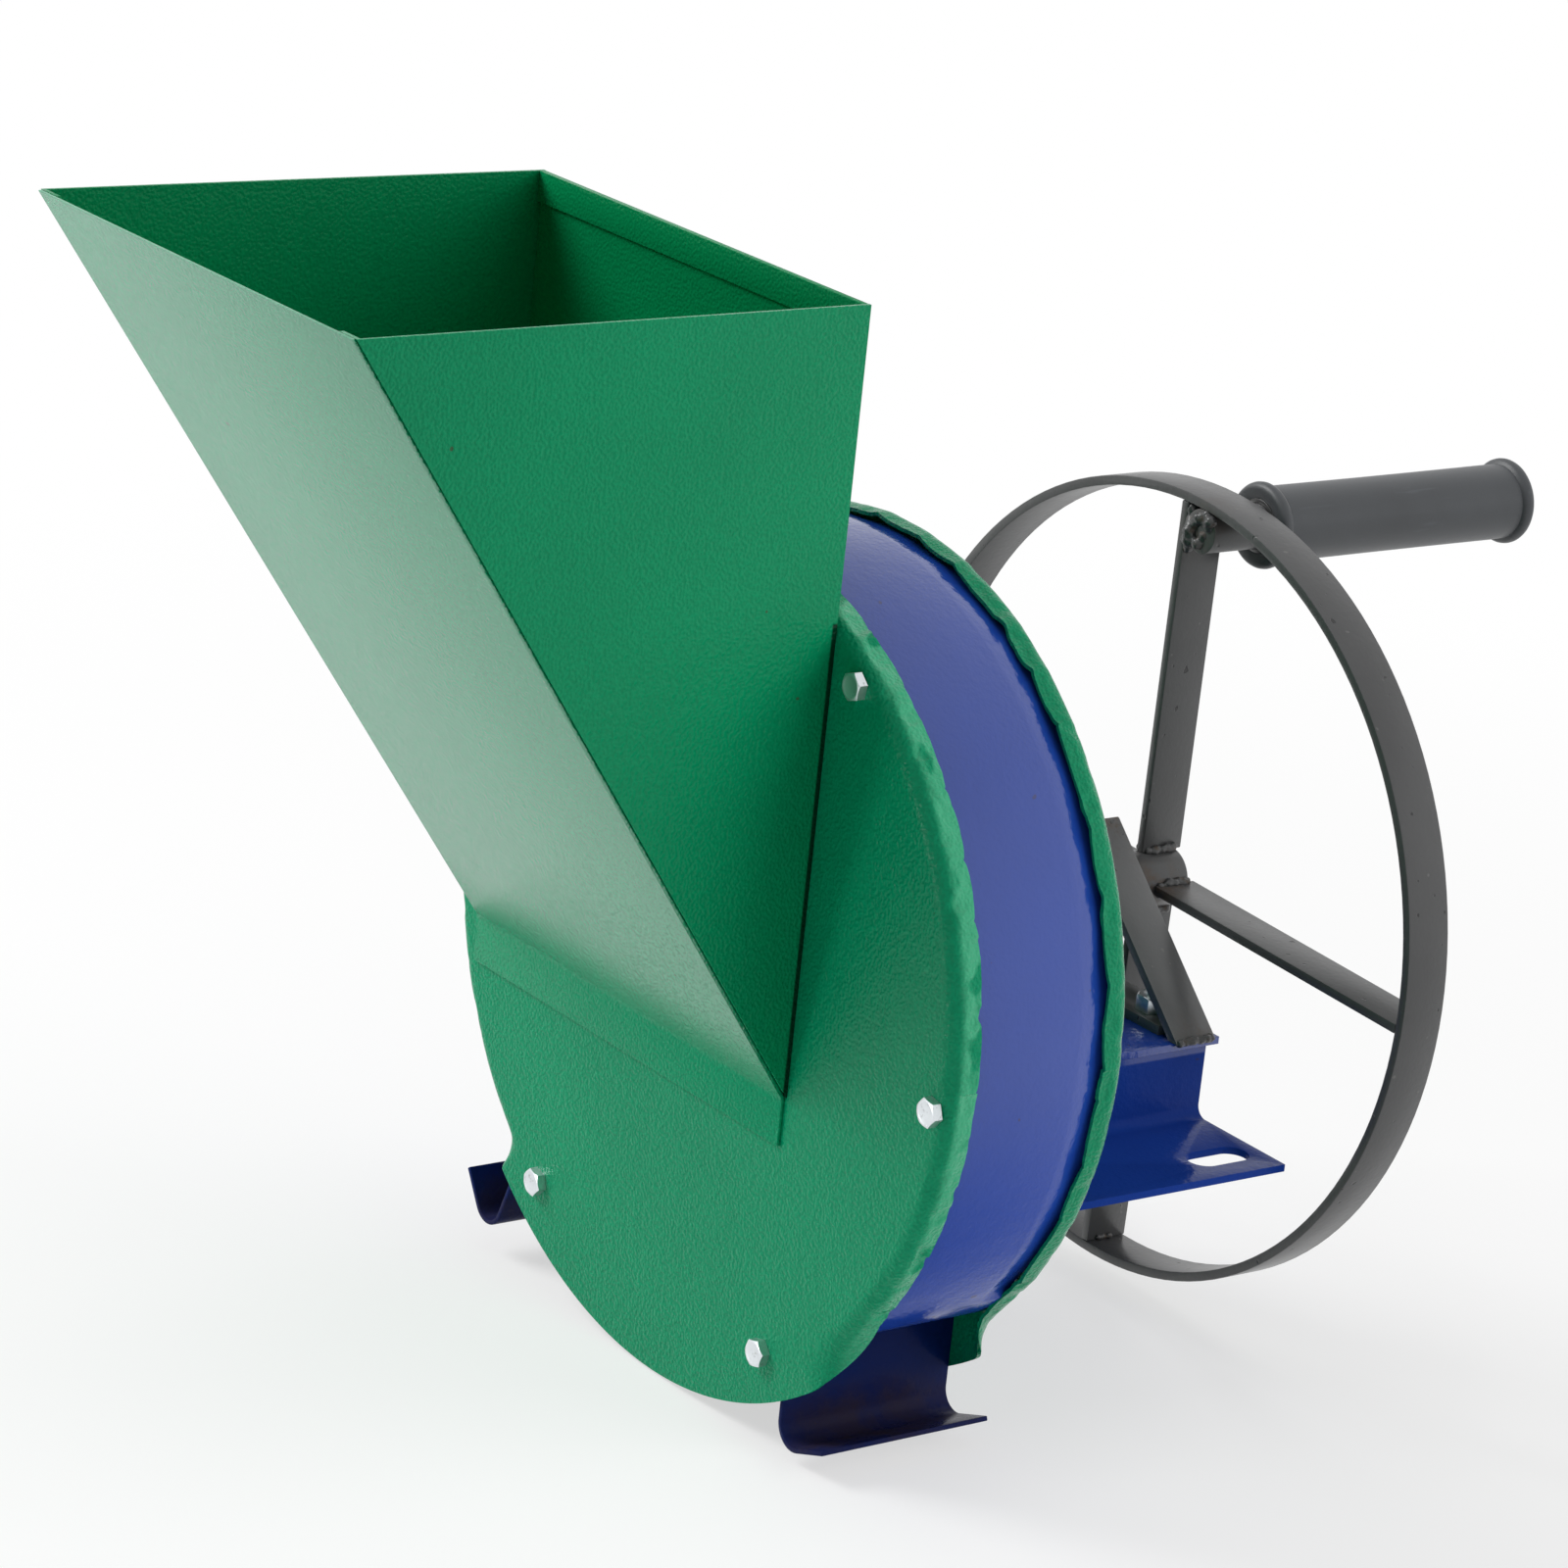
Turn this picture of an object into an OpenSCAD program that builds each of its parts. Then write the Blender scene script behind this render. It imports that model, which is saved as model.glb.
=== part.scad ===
// Apple scratter: a hand-cranked mill that grates fruit on a turning disc.
// The origin lies on the bench, midway between the two slots of the bracket.
// X runs across the drum, Y from the hopper back to the crank wheel, Z up.

/* [Drum] */
// Room between the disc's edge and the outside of the covers
disc_room = 19; // [19:0.5:24]
// Depth of the drum from the front cover's face to the rear cover's face
drum_depth = 81.8; // [70:0.1:120]
// Thickness of the covers, the band and the hopper
sheet = 1.5; // [1:0.1:2.5]
// Outer radius of the bend at the rim of each cover
edge_r = 7; // [5:0.5:8]
// Depth of the front cover from its face to the free edge of its flange
front_flange = 13.5; // [11:0.5:20]
// Depth of the rear cover from its face to the free edge of its flange
rear_flange = 11.5; // [11:0.5:20]
// Number of hammered hollows that one full turn of flange edge would hold
scallop_count = 30; // [12:1:36]
// Depth of one hollow in the free edge
scallop_depth = 1.2; // [0.5:0.1:2]
// Radius of a hollow
scallop_r = 60; // [40:1:90]
// Reach of the flat apron at the bottom of each cover past the cover's round
apron_reach = 10.5; // [2:0.5:15]
// Angle that the apron takes up
apron_angle = 76; // [60:1:90]
// Turn of the drum against the hopper
drum_turn = -3.3; // [-6:0.1:6]
// Angle below the horizontal at which the band leaves the covers' rim
band_drop = 36.7; // [30:0.1:45]
// Radius of the band's inward curl
curl_r = 73; // [60:1:90]
// Angle of the band's inward curl
curl_angle = 39; // [30:1:45]
// Gap between the band and the flanges round it
band_gap = 0.3; // [0.2:0.05:0.6]
// Radius of the hole round the shaft in the rear cover
cover_hole_r = 10; // [9.5:0.5:12]

/* [Drum bolts] */
// Number of bolts round the drum
bolt_count = 6; // [6:1:6]
// Distance from the outside of the covers to a bolt
bolt_inset = 9; // [8:0.5:10]
// Thread diameter of a drum bolt
bolt_d = 6; // [5:1:8]
// Width of a drum bolt's head across the flats
hex_w = 10; // [8:0.5:13]
// Height of a drum bolt's head
head_h = 4; // [3:0.1:6]
// Thread that stands past a lug inside the drum
drum_thread = 2; // [1:0.5:4]
// Width of the lugs that the drum bolts are screwed into
lug_w = 14; // [12:0.5:14]
// Gap between a lug on a foot and the band's curled end
lug_gap = 1; // [0.5:0.1:2]

/* [Feet] */
// Thickness of the feet
foot_t = 2; // [1.5:0.1:3]
// Outer radius of the hook at the bottom of a foot
hook_r = 9.7; // [7:0.1:12]
// Height of the right foot above its hook
right_foot_h = 32; // [28:0.5:45]
// Outward lean of the right foot in the drum
right_foot_lean = 3.3; // [0:0.1:10]
// Angle that the right hook turns through
right_hook_turn = 110; // [90:1:140]
// Length of the right lip
right_lip = 17; // [10:0.5:22]
// Height of the left foot above its hook
left_foot_h = 41; // [28:0.5:45]
// Outward lean of the left foot in the drum
left_foot_lean = 18.7; // [0:0.1:25]
// Angle that the left hook turns through
left_hook_turn = 125; // [90:1:140]
// Length of the left lip
left_lip = 16; // [10:0.5:22]

/* [Hopper] */
// Hopper's left face, as a share of the covers' radius from the shaft
hopper_left_share = 0.875; // [0.8:0.001:0.9]
// Hopper's right face, as a share of the covers' radius from the shaft
hopper_right_share = 0.421; // [0.35:0.001:0.45]
// Height of the mouth above the shaft
hopper_rise = 268.4; // [200:0.1:320]
// Reach of the mouth in front of the front cover
hopper_reach = 216.5; // [150:0.1:250]
// Depth of the fold on the cover below the shaft
hopper_drop = 37; // [30:0.5:45]
// Length of the lip below the fold
hopper_lip = 17.5; // [10:0.5:25]
// Radius of the fold
fold_r = 5; // [2:0.5:8]
// Outward swing of the left side panel
left_swing = 2.1; // [0:0.1:3]
// Width of the side panels' edges that lie under the slope panel
lap_w = 12; // [8:0.5:20]
// Depth of the slope panel's edge inside the side panel's face
lap_gap = 1.2; // [0.5:0.1:2]
// Depth of the hem at the top of the back panel
hem_h = 12; // [8:0.5:20]
// Edge of the cover left between the feed opening and the hopper's side faces
feed_side = 14.4; // [12:0.1:30]
// Edge of the cover left between the feed opening and the fold
feed_foot = 15; // [12:0.5:20]
// Edge of the cover left between the feed opening and the bolts' centres
feed_margin = 14; // [12:0.5:20]
// Width of the cover's rim that the back panel lies on
back_lap = 10; // [8:0.5:12]

/* [Bench bracket] */
// Height of the shaft above the bench
shaft_h = 75.5; // [72:0.5:100]
// Thickness of the bracket
plate_t = 3; // [2.5:0.1:4]
// Height of the bracket
bracket_h = 35.5; // [30:0.5:38]
// Width of the bracket between the outer faces of its angles
bracket_w = 144.6; // [140:0.1:160]
// Inner radius of the bend in an angle
angle_r = 5; // [3:0.5:7]
// Metal left between a slot and the free edge of its flange
slot_edge = 9.8; // [6:0.1:25]
// Length of the angles behind the drum
angle_len = 121.2; // [115:0.1:150]
// Distance from the slots' centres to the rear end of the angles
slot_setback = 20.5; // [18:0.5:30]
// Distance from one slot to the other across the bench
slot_span = 219; // [215:0.5:224]
// Length of a slot along the angle
slot_len = 28; // [22:0.5:34]
// Width of a slot
slot_w = 14; // [9:0.5:16]
// Overhang of the top plate behind the angles
plate_overhang = 6.3; // [0:0.1:10]

/* [Stand] */
// Width of the flat bar of the stand and the wheel
bar_w = 20; // [16:0.5:24]
// Thickness of the flat bar
bar_t = 4; // [3:0.1:5]
// Slope of the struts below the horizontal
strut_slope = 42.7; // [40:0.1:48]
// Distance from the top plate's rear edge to the stand
stand_setback = 3.3; // [1:0.1:6]
// Distance from the shaft's upright plane to a stand bolt
stand_bolt_x = 46.5; // [40:0.5:47]
// Thread diameter of a stand bolt
stand_bolt_d = 8; // [6:1:8]
// Width of a stand bolt's head and nut across the flats
stand_hex_w = 13; // [10:0.5:13]
// Height of a stand bolt's head
stand_head_h = 5.3; // [4:0.1:6]
// Height of a nut on the stand
nut_h = 6.5; // [5:0.1:8]
// Thread that stands past a nut on the stand
stand_thread = 4; // [2:0.5:4]
// Gap between the base bar's end and a strut
base_gap = 2.4; // [1:0.1:4]

/* [Shaft and bearings] */
// Diameter of the main shaft
shaft_d = 12; // [10:0.5:12]
// Outer diameter of a bearing
bearing_d = 28; // [28:0.5:30]
// Width of a bearing
bearing_w = 8; // [7:0.5:10]
// Diameter of a bearing ball
ball_d = 4.76; // [4.5:0.01:5]
// Number of balls in a bearing
ball_count = 9; // [6:1:10]
// Width of the gap between the rings of a bearing
ring_gap = 3.2; // [2.8:0.1:3.6]
// Wall of the tube that holds the bearings
tube_wall = 3; // [2:0.1:5]
// Depth of each bearing inside the tube's end
bearing_inset = 2; // [1:0.1:4]
// Outer diameter of the spacers on the shaft
spacer_d = 17; // [15:0.5:17]

/* [Grater disc] */
// Diameter of the grater disc
disc_d = 292; // [260:1:340]
// Thickness of the grater disc
disc_t = 2; // [1.5:0.1:3]
// Gap between the front cover's inner face and the tips of the burrs
disc_gap = 5; // [4:0.5:7]
// Height of a burr
burr_h = 3; // [2:0.1:4]
// Radius of a burr at its foot
burr_foot_r = 5.5; // [5:0.1:6]
// Radius of a burr at its tip
burr_tip_r = 4.4; // [4.2:0.1:4.8]
// Radius of the hole in a burr
burr_hole_r = 3.5; // [3:0.1:3.8]
// Number of rows of burrs
burr_rows = 12; // [8:1:14]
// Number of burrs in a row
burrs_in_row = 6; // [4:1:7]
// Radius of the innermost burr
first_burr_r = 48; // [46:1:56]
// Gap between the outermost burr and the disc's edge
burr_margin = 5; // [4:0.5:9]
// Radius of the flange behind the disc
disc_flange_r = 34; // [31:0.5:38]
// Thickness of that flange
disc_flange_t = 5; // [4:0.5:8]
// Radius of the flange's boss
boss_r = 14; // [12:0.5:17]
// Length of the boss behind the flange
boss_len = 24; // [16:0.5:30]
// Radius of the circle that the disc screws stand on
screw_circle_r = 24; // [22:0.5:26]
// Thread diameter of a disc screw
screw_d = 6; // [5:0.5:6]
// Diameter of a disc screw's head
screw_head_d = 10; // [9:0.5:11]
// Height of a disc screw's head
screw_head_h = 3; // [2:0.1:4]
// Number of disc screws
screw_count = 4; // [3:1:6]
// Diameter of the washer under the shaft nut
disc_washer_d = 30; // [26:0.5:32]
// Thickness of that washer
disc_washer_t = 2.5; // [2:0.1:3]
// Width of the shaft nut across the flats
shaft_nut_w = 19; // [17:0.5:19]
// Height of the shaft nut
shaft_nut_h = 7; // [6:0.5:8]

/* [Crank wheel] */
// Outer radius of the wheel's rim
rim_r = 163.4; // [140:0.1:175]
// Distance from the stand to the hub
hub_gap = 7; // [4:0.1:12]
// Diameter of the hub
hub_d = 24; // [20:0.5:30]
// Length of the hub
hub_len = 23.5; // [20:0.5:30]
// Distance that the rim stands back from the hub's front end
rim_setback = 5.9; // [3:0.1:10]
// Angle of the right spoke above the horizontal
right_spoke_angle = -2.3; // [-6:0.1:6]
// Angle of the top spoke
top_spoke_angle = 89.5; // [86:0.1:94]
// Angle of the left spoke
left_spoke_angle = 177.7; // [174:0.1:186]
// Angle of the bottom spoke
bottom_spoke_angle = 268.5; // [266:0.1:274]

/* [Crank grip] */
// Diameter of the crank pin
pin_d = 18; // [14:0.5:18]
// Distance from the rim to the grip
grip_gap = 9.2; // [4:0.1:15]
// Length of the rubber grip
grip_len = 135.3; // [100:0.1:150]
// Diameter of the rubber grip
grip_d = 30.7; // [28:0.1:34]
// Diameter of the collars at the grip's ends
collar_d = 35; // [34.8:0.1:38]
// Width of a collar
collar_w = 6; // [5:0.1:8]
// Radius of a collar's rounded edge
collar_r = 2.4; // [1:0.1:2.4]
// Radius of the hollow that blends a collar into the barrel
blend_r = 2; // [1:0.1:2.1]
// Wall of the steel tube inside the grip
grip_wall = 1.9; // [1.5:0.1:2.5]
// Gap between the pin and the tube that turns on it
pin_gap = 0.08; // [0.05:0.01:0.1]
// Depth of the recess at the grip's free end
recess_h = 7; // [5:0.5:10]
// Diameter of the washer on the pin's end
pin_washer_d = 23; // [22:0.5:24]
// Thickness of that washer
pin_washer_t = 2; // [1.5:0.1:2.5]
// Diameter of the screw that holds the washer
pin_screw_d = 8; // [6:0.5:8]
// Diameter of that screw's head
pin_head_d = 14.4; // [12:0.1:16]
// Height of that screw's head
pin_screw_h = 3.5; // [2:0.1:3.5]

/* [Fits] */
// Gap between two pieces that are fixed to each other
seat_gap = 0.05; // [0.02:0.01:0.1]
// Gap round a bolt in its hole
hole_gap = 0.2; // [0.1:0.05:0.5]
// Gap between a turning piece and a fixed one
running_gap = 0.3; // [0.2:0.05:0.5]
// Gap between a ball and its grooves
ball_gap = 0.08; // [0.05:0.01:0.1]

/* [Hidden] */
// Overrun of every cut
over = 1;
// Facets of round faces
$fn = 96;
// Steps in the quarter turn and more of the band, and in a bend
arc_steps = 48;
bend_steps = 16;
// Angle from the outside of a foot's hook round to where the plate meets it
half_turn = 180;

green = "#1f8a63";
blue = "#2a3f8f";
black = "#3a3b3d";
zinc = "#c9d0d2";
steel = "#a9adb0";
rubber = "#4a4d50";

// Places along the shaft
rear_y = slot_setback - angle_len;
front_y = rear_y - drum_depth;
lug_y = front_y + sheet + seat_gap;
plate_end_y = slot_setback + plate_overhang;
stand_end_y = plate_end_y - stand_setback;
stand_y = stand_end_y - bar_w;
hub_y = stand_end_y + hub_gap;
rim_y = hub_y + rim_setback;
rim_end_y = rim_y + bar_w;
grip_y = rim_end_y + grip_gap;
grip_end_y = grip_y + grip_len;
burr_y = front_y + sheet + disc_gap;
disc_y = burr_y + burr_h;
lug_t = disc_y - running_gap - lug_y;
disc_flange_y = disc_y + disc_t;
boss_end_y = disc_flange_y + disc_flange_t + boss_len;
disc_nut_y = disc_y - disc_washer_t - shaft_nut_h;
front_bearing_y = rear_y + bearing_inset;
rear_bearing_y = stand_end_y - bearing_inset - bearing_w;

// Radii round the shaft
cover_r = disc_d / 2 + disc_room;
apron_r = cover_r + apron_reach;
bolt_circle_r = cover_r - bolt_inset;
shaft_r = shaft_d / 2;
bearing_r = bearing_d / 2;
tube_r = bearing_r + tube_wall;
ball_circle_r = (shaft_r + bearing_r) / 2;
inner_ring_r = ball_circle_r - ring_gap / 2;
outer_ring_r = ball_circle_r + ring_gap / 2;
groove_r = ball_d / 2 + ball_gap;
band_r = cover_r - sheet - band_gap;
curl_centre = (band_r - curl_r) * [cos(band_drop), -sin(band_drop)];
curl_end = band_drop + curl_angle;
foot_corner = curl_centre + (curl_r + seat_gap) * [cos(curl_end), -sin(curl_end)];
rim_inner_r = rim_r - bar_t;
hub_r = hub_d / 2;
pin_r = pin_d / 2;
pin_circle_r = rim_inner_r - pin_r - seat_gap;
pin_angle = top_spoke_angle - asin((bar_t / 2 + pin_r + seat_gap) / pin_circle_r);

// Hopper
hopper_left = cover_r * hopper_left_share;
hopper_right = cover_r * hopper_right_share;
feed_left = hopper_left - feed_side;
feed_right = hopper_right - feed_side;
feed_drop = hopper_drop - feed_foot;
feed_r = bolt_circle_r - feed_margin;
fold_z = shaft_h - hopper_drop;
mouth_z = shaft_h + hopper_rise;
slope_run = hopper_reach - sheet;
slope_rise = hopper_rise + hopper_drop;
slope_angle = atan2(slope_run, slope_rise);
slope_len = norm([slope_run, slope_rise]);
fold_trim = fold_r * tan(slope_angle / 2);
swing_out = slope_run * tan(left_swing);

// Bracket and stand
half_bracket = bracket_w / 2;
slot_x = slot_span / 2;
bench_edge_x = slot_x + slot_w / 2 + slot_edge;
strut_in = tube_r + seat_gap;
strut_out = strut_in + bar_t;

// A profile of (radius, Y) turned about the shaft
module turned() {
    translate([0, 0, shaft_h])
        rotate([-90, 0, 0])
            rotate_extrude()
                children();
}

// An outline of (X, height above the shaft) given a thickness along Y
module along_y(y0, y1) {
    translate([0, y1, shaft_h])
        rotate([90, 0, 0])
            linear_extrude(y1 - y0)
                children();
}

// An outline of (Y, Z) given a thickness along X
module along_x(x0, x1) {
    translate([x0, 0, 0])
        rotate([90, 0, 90])
            linear_extrude(x1 - x0)
                children();
}

// A round bar along Y, at an angle and a radius from the shaft
module rod(y0, y1, r, at_r = 0, angle = 0) {
    translate([at_r * cos(angle), y0, shaft_h + at_r * sin(angle)])
        rotate([-90, 0, 0])
            cylinder(h = y1 - y0, r = r);
}

// A ring along Y round the shaft
module ring(y0, y1, r_out, r_in) {
    difference() {
        rod(y0, y1, r_out);
        rod(y0 - over, y1 + over, r_in);
    }
}

// The drum's own turn about the shaft
module in_drum() {
    translate([0, 0, shaft_h])
        rotate([0, -drum_turn, 0])
            translate([0, 0, -shaft_h])
                children();
}

// A hexagon with the chamfer of a bolt head on its far end
module hexagon(w, h) {
    corner_r = w / sqrt(3);
    intersection() {
        cylinder(h = h, r = corner_r, $fn = 6);
        cylinder(h = h, r1 = w / 2 + h * sqrt(3), r2 = w / 2 - seat_gap);
    }
}

// A bolt whose head's seat is at the origin, with its thread along Z
module bolt(len, d, w, h) {
    mirror([0, 0, 1])
        hexagon(w, h);
    cylinder(h = len, r = d / 2);
}

// A nut that stands on the origin along Z
module nut(w, h, d) {
    difference() {
        hexagon(w, h);
        translate([0, 0, -over])
            cylinder(h = h + 2 * over, r = d / 2 + seat_gap);
    }
}

module rotate_about_shaft(angle) {
    translate([0, 0, shaft_h])
        rotate([0, -angle, 0])
            translate([0, 0, -shaft_h])
                children();
}

// Half-section of a cover: its face, the bend at its rim and its flange
module cover_section(flange) {
    bend_r = cover_r - edge_r;
    square([bend_r, sheet]);
    translate([bend_r, edge_r])
        intersection() {
            difference() {
                circle(edge_r);
                circle(edge_r - sheet);
            }
            translate([0, -edge_r])
                square(edge_r);
        }
    translate([cover_r - sheet, edge_r])
        square([sheet, flange - edge_r]);
}

// Hollows that the hammer left in the free edge of the flange
module scallops(flange) {
    pitch = 360 / scallop_count;
    from = apron_angle / 2 - 90 + pitch;
    to = 270 - apron_angle / 2 - pitch / 2;
    for (angle = [from : pitch : to])
        rotate([0, 0, angle])
            translate([cover_r - 2 * sheet, 0, flange + scallop_r - scallop_depth])
                rotate([0, 90, 0])
                    cylinder(h = 4 * sheet, r = scallop_r);
}

// The wedge of a lying cover that its apron takes up
module apron_wedge(height) {
    reach = 2 * apron_r;
    half_w = reach * tan(apron_angle / 2);
    translate([0, 0, -over])
        linear_extrude(height + 2 * over)
            polygon([[0, 0], [-half_w, -reach], [half_w, -reach]]);
}

// A cover lying on its face, with the shaft up and its apron towards -Y
module cover(flange, holes) {
    difference() {
        union() {
            difference() {
                rotate_extrude()
                    cover_section(flange);
                apron_wedge(flange);
            }
            intersection() {
                cylinder(h = sheet, r = apron_r);
                apron_wedge(flange);
            }
        }
        scallops(flange);
        for (i = [0 : 1 : holes - 1])
            rotate([0, 0, i * 360 / bolt_count])
                translate([bolt_circle_r, 0, -over])
                    cylinder(h = sheet + 2 * over, r = bolt_d / 2 + hole_gap);
    }
}

// Green dished cover on the hopper's side, with the feed opening
module front_cover() {
    color(green)
        difference() {
            in_drum()
                translate([0, front_y, shaft_h])
                    rotate([-90, 0, 0])
                        mirror([0, 1, 0])
                            cover(front_flange, bolt_count);
            along_y(front_y - over, front_y + sheet + over)
                intersection() {
                    translate([-feed_left, -feed_drop])
                        square([feed_left + feed_right, feed_drop + feed_r]);
                    circle(feed_r);
                }
        }
}

// Green dished cover on the crank's side, with the hole for the shaft
module rear_cover() {
    color(green)
        difference() {
            in_drum()
                translate([0, rear_y, shaft_h])
                    rotate([90, 0, 0])
                        cover(rear_flange, 0);
            rod(rear_y - sheet - over, rear_y + over, cover_hole_r);
        }
}

// Points along an arc, seen from the hopper
function arc(centre, r, from, to, steps) =
    [for (i = [0 : steps]) let (a = from + (to - from) * i / steps)
        centre + r * [cos(a), sin(a)]];

// Half of the band's outline, from its top down to the end of the curl
function half_band(r, curl) =
    concat(arc([0, 0], r, 90, -band_drop, arc_steps),
        arc(curl_centre, curl, -band_drop, -band_drop - curl_angle, bend_steps));

// The same points on the other side of the drum, from the end up to the top
function other_side(points) =
    [for (i = [len(points) - 1 : -1 : 1]) [-points[i].x, points[i].y]];

// Blue band between the covers, curled inwards above each foot
module drum_band() {
    outside = half_band(band_r, curl_r);
    inside = half_band(band_r - sheet, curl_r - sheet);
    inside_back = [for (i = [len(inside) - 1 : -1 : 1]) inside[i]];
    inside_other = [for (point = inside) [-point.x, point.y]];
    color(blue)
        in_drum()
            along_y(front_y + edge_r, rear_y - edge_r)
                polygon(concat(other_side(outside), outside, inside_back, inside_other));
}

// A foot seen from the hopper: a plate down from the band, a hook and a lip
module foot_outline(height, turn, lip, top_slope) {
    centre = [hook_r, -height];
    out_dir = [cos(turn - 90), sin(turn - 90)];
    outside = arc(centre, hook_r, half_turn, half_turn + turn, bend_steps);
    inside = arc(centre, hook_r - foot_t, half_turn + turn, half_turn, bend_steps);
    polygon(concat([[0, 0]], outside, [outside[bend_steps] + lip * out_dir,
        inside[0] + lip * out_dir], inside, [[foot_t, foot_t * tan(top_slope)]]));
}

// A foot at the band's curled end
module foot(height, lean, turn, lip) {
    along_y(front_y + sheet, rear_y - sheet)
        translate(foot_corner)
            rotate(lean)
                foot_outline(height, turn, lip, 90 - curl_end - lean);
}

module right_foot() {
    color(blue)
        in_drum()
            foot(right_foot_h, right_foot_lean, right_hook_turn, right_lip);
}

module left_foot() {
    color(blue)
        in_drum()
            mirror([1, 0, 0])
                foot(left_foot_h, left_foot_lean, left_hook_turn, left_lip);
}

// The slope panel's own plane: Y runs up the slope, Z out of the hopper
module on_slope() {
    translate([0, front_y - sheet, fold_z])
        rotate([90 + slope_angle, 0, 0])
            children();
}

// Everything above the mouth, to cut the panels level
module above_mouth() {
    span = hopper_left + hopper_right + 4 * swing_out;
    translate([-hopper_left - 2 * swing_out, front_y - hopper_reach - span, mouth_z])
        cube([span, 2 * span, span]);
}

// Green slope panel, folded flat onto the cover at its foot
module hopper_slope() {
    left = hopper_left - lap_gap;
    right = hopper_right - lap_gap;
    color(green)
        difference() {
            union() {
                on_slope()
                    translate([0, 0, -sheet])
                        linear_extrude(sheet)
                            polygon([[-left, fold_trim], [right, fold_trim],
                                [right, slope_len + sheet], [-left - swing_out, slope_len + sheet]]);
                translate([-left, front_y - sheet - fold_r, fold_z - fold_trim])
                    rotate([90, 0, 90])
                        rotate_extrude(angle = slope_angle)
                            translate([fold_r, 0])
                                square([sheet, left + right]);
                along_x(-left, right)
                    translate([front_y - sheet, fold_z - fold_trim - hopper_lip])
                        square([sheet, hopper_lip]);
            }
            above_mouth();
        }
}

// Upright triangle of one side panel
module side_plate() {
    edge_z = fold_z + (sheet + seat_gap) * tan(slope_angle / 2);
    run = (mouth_z - edge_z) * tan(slope_angle);
    along_x(-sheet, 0)
        polygon([[front_y, edge_z], [front_y, mouth_z], [front_y - run, mouth_z]]);
}

// The side panel's edge folded inwards under the slope panel
module side_lap(swing) {
    inner = -lap_w;
    outer = -sheet / 2;
    start = lap_w / slope_len * swing;
    difference() {
        on_slope()
            translate([0, 0, -2 * sheet - seat_gap])
                linear_extrude(sheet)
                    polygon([[inner + start, lap_w], [outer + start, lap_w],
                        [outer + swing, slope_len], [inner + swing, slope_len]]);
        above_mouth();
    }
}

module hopper_right_side() {
    color(green)
        translate([hopper_right, 0, 0]) {
            side_plate();
            side_lap(0);
        }
}

module hopper_left_side() {
    color(green) {
        translate([-hopper_left, front_y, 0])
            rotate([0, 0, -left_swing])
                translate([0, -front_y, 0])
                    mirror([1, 0, 0])
                        side_plate();
        translate([-hopper_left, 0, 0])
            mirror([1, 0, 0])
                side_lap(swing_out);
    }
}

// Upright panel from the cover's rim to the mouth, with a hem at its top
module hopper_back() {
    left = hopper_left - sheet - seat_gap;
    right = hopper_right - sheet - seat_gap;
    lap_r = cover_r - edge_r - back_lap;
    color(green)
        difference() {
            union() {
                along_y(front_y - sheet, front_y - seat_gap)
                    difference() {
                        translate([-left, 0])
                            square([left + right, hopper_rise]);
                        circle(lap_r);
                    }
                along_y(front_y - 2 * sheet, front_y - sheet)
                    translate([-left, hopper_rise - hem_h])
                        square([left + right, hem_h]);
            }
            in_drum()
                rod(front_y - 2 * sheet, front_y + over, bolt_d / 2 + hole_gap,
                    bolt_circle_r, 2 * 360 / bolt_count);
        }
}

// Six drum bolts; the one inside the hopper clamps the back panel too
module cover_bolts() {
    color(zinc)
        in_drum()
            for (i = [0 : bolt_count - 1])
                rotate_about_shaft(i * 360 / bolt_count)
                    translate([bolt_circle_r, front_y - (i == 2 ? sheet : 0), shaft_h])
                        rotate([-90, 0, 0])
                            bolt(sheet + lug_t + drum_thread + (i == 2 ? sheet : 0),
                                bolt_d, hex_w, head_h);
}

// A lug that follows the inside of the band and clears the bend of the cover
module band_lug() {
    intersection() {
        union() {
            rod(lug_y, lug_y + lug_t, cover_r - edge_r);
            rod(front_y + edge_r, lug_y + lug_t, band_r - sheet - seat_gap);
        }
        translate([bolt_circle_r - lug_w / 2, lug_y, shaft_h - lug_w / 2])
            cube([lug_w, lug_t, lug_w]);
    }
}

// A lug on the inner face of a foot with this lean
module foot_lug(lean) {
    from_corner = bolt_circle_r * [cos(360 / bolt_count), -sin(360 / bolt_count)] - foot_corner;
    x = from_corner * [cos(lean), sin(lean)] - lug_w / 2;
    z = from_corner * [-sin(lean), cos(lean)] - lug_w / 2;
    along_y(lug_y, lug_y + lug_t)
        translate(foot_corner)
            rotate(lean)
                translate([x, z])
                    square([-x - seat_gap, min(lug_w, -z - lug_gap)]);
}

// Threaded lugs inside the drum that take the bolts of the front cover
module cover_lugs() {
    color(blue)
        in_drum()
            difference() {
                union() {
                    for (i = [0 : bolt_count / 2])
                        rotate_about_shaft(i * 360 / bolt_count)
                            band_lug();
                    foot_lug(right_foot_lean);
                    mirror([1, 0, 0])
                        foot_lug(left_foot_lean);
                }
                for (i = [0 : bolt_count - 1])
                    rod(lug_y - over, lug_y + lug_t + over, bolt_d / 2 + seat_gap,
                        bolt_circle_r, i * 360 / bolt_count);
            }
}

// Blue plate that bridges the two bench angles
module bracket_top_plate() {
    color(blue)
        difference() {
            translate([-half_bracket, rear_y, bracket_h - plate_t])
                cube([bracket_w, plate_end_y - rear_y, plate_t]);
            for (side = [-1, 1])
                translate([side * stand_bolt_x, stand_y + bar_w / 2, 0])
                    cylinder(h = bracket_h + over, r = stand_bolt_d / 2 + hole_gap);
        }
}

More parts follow.
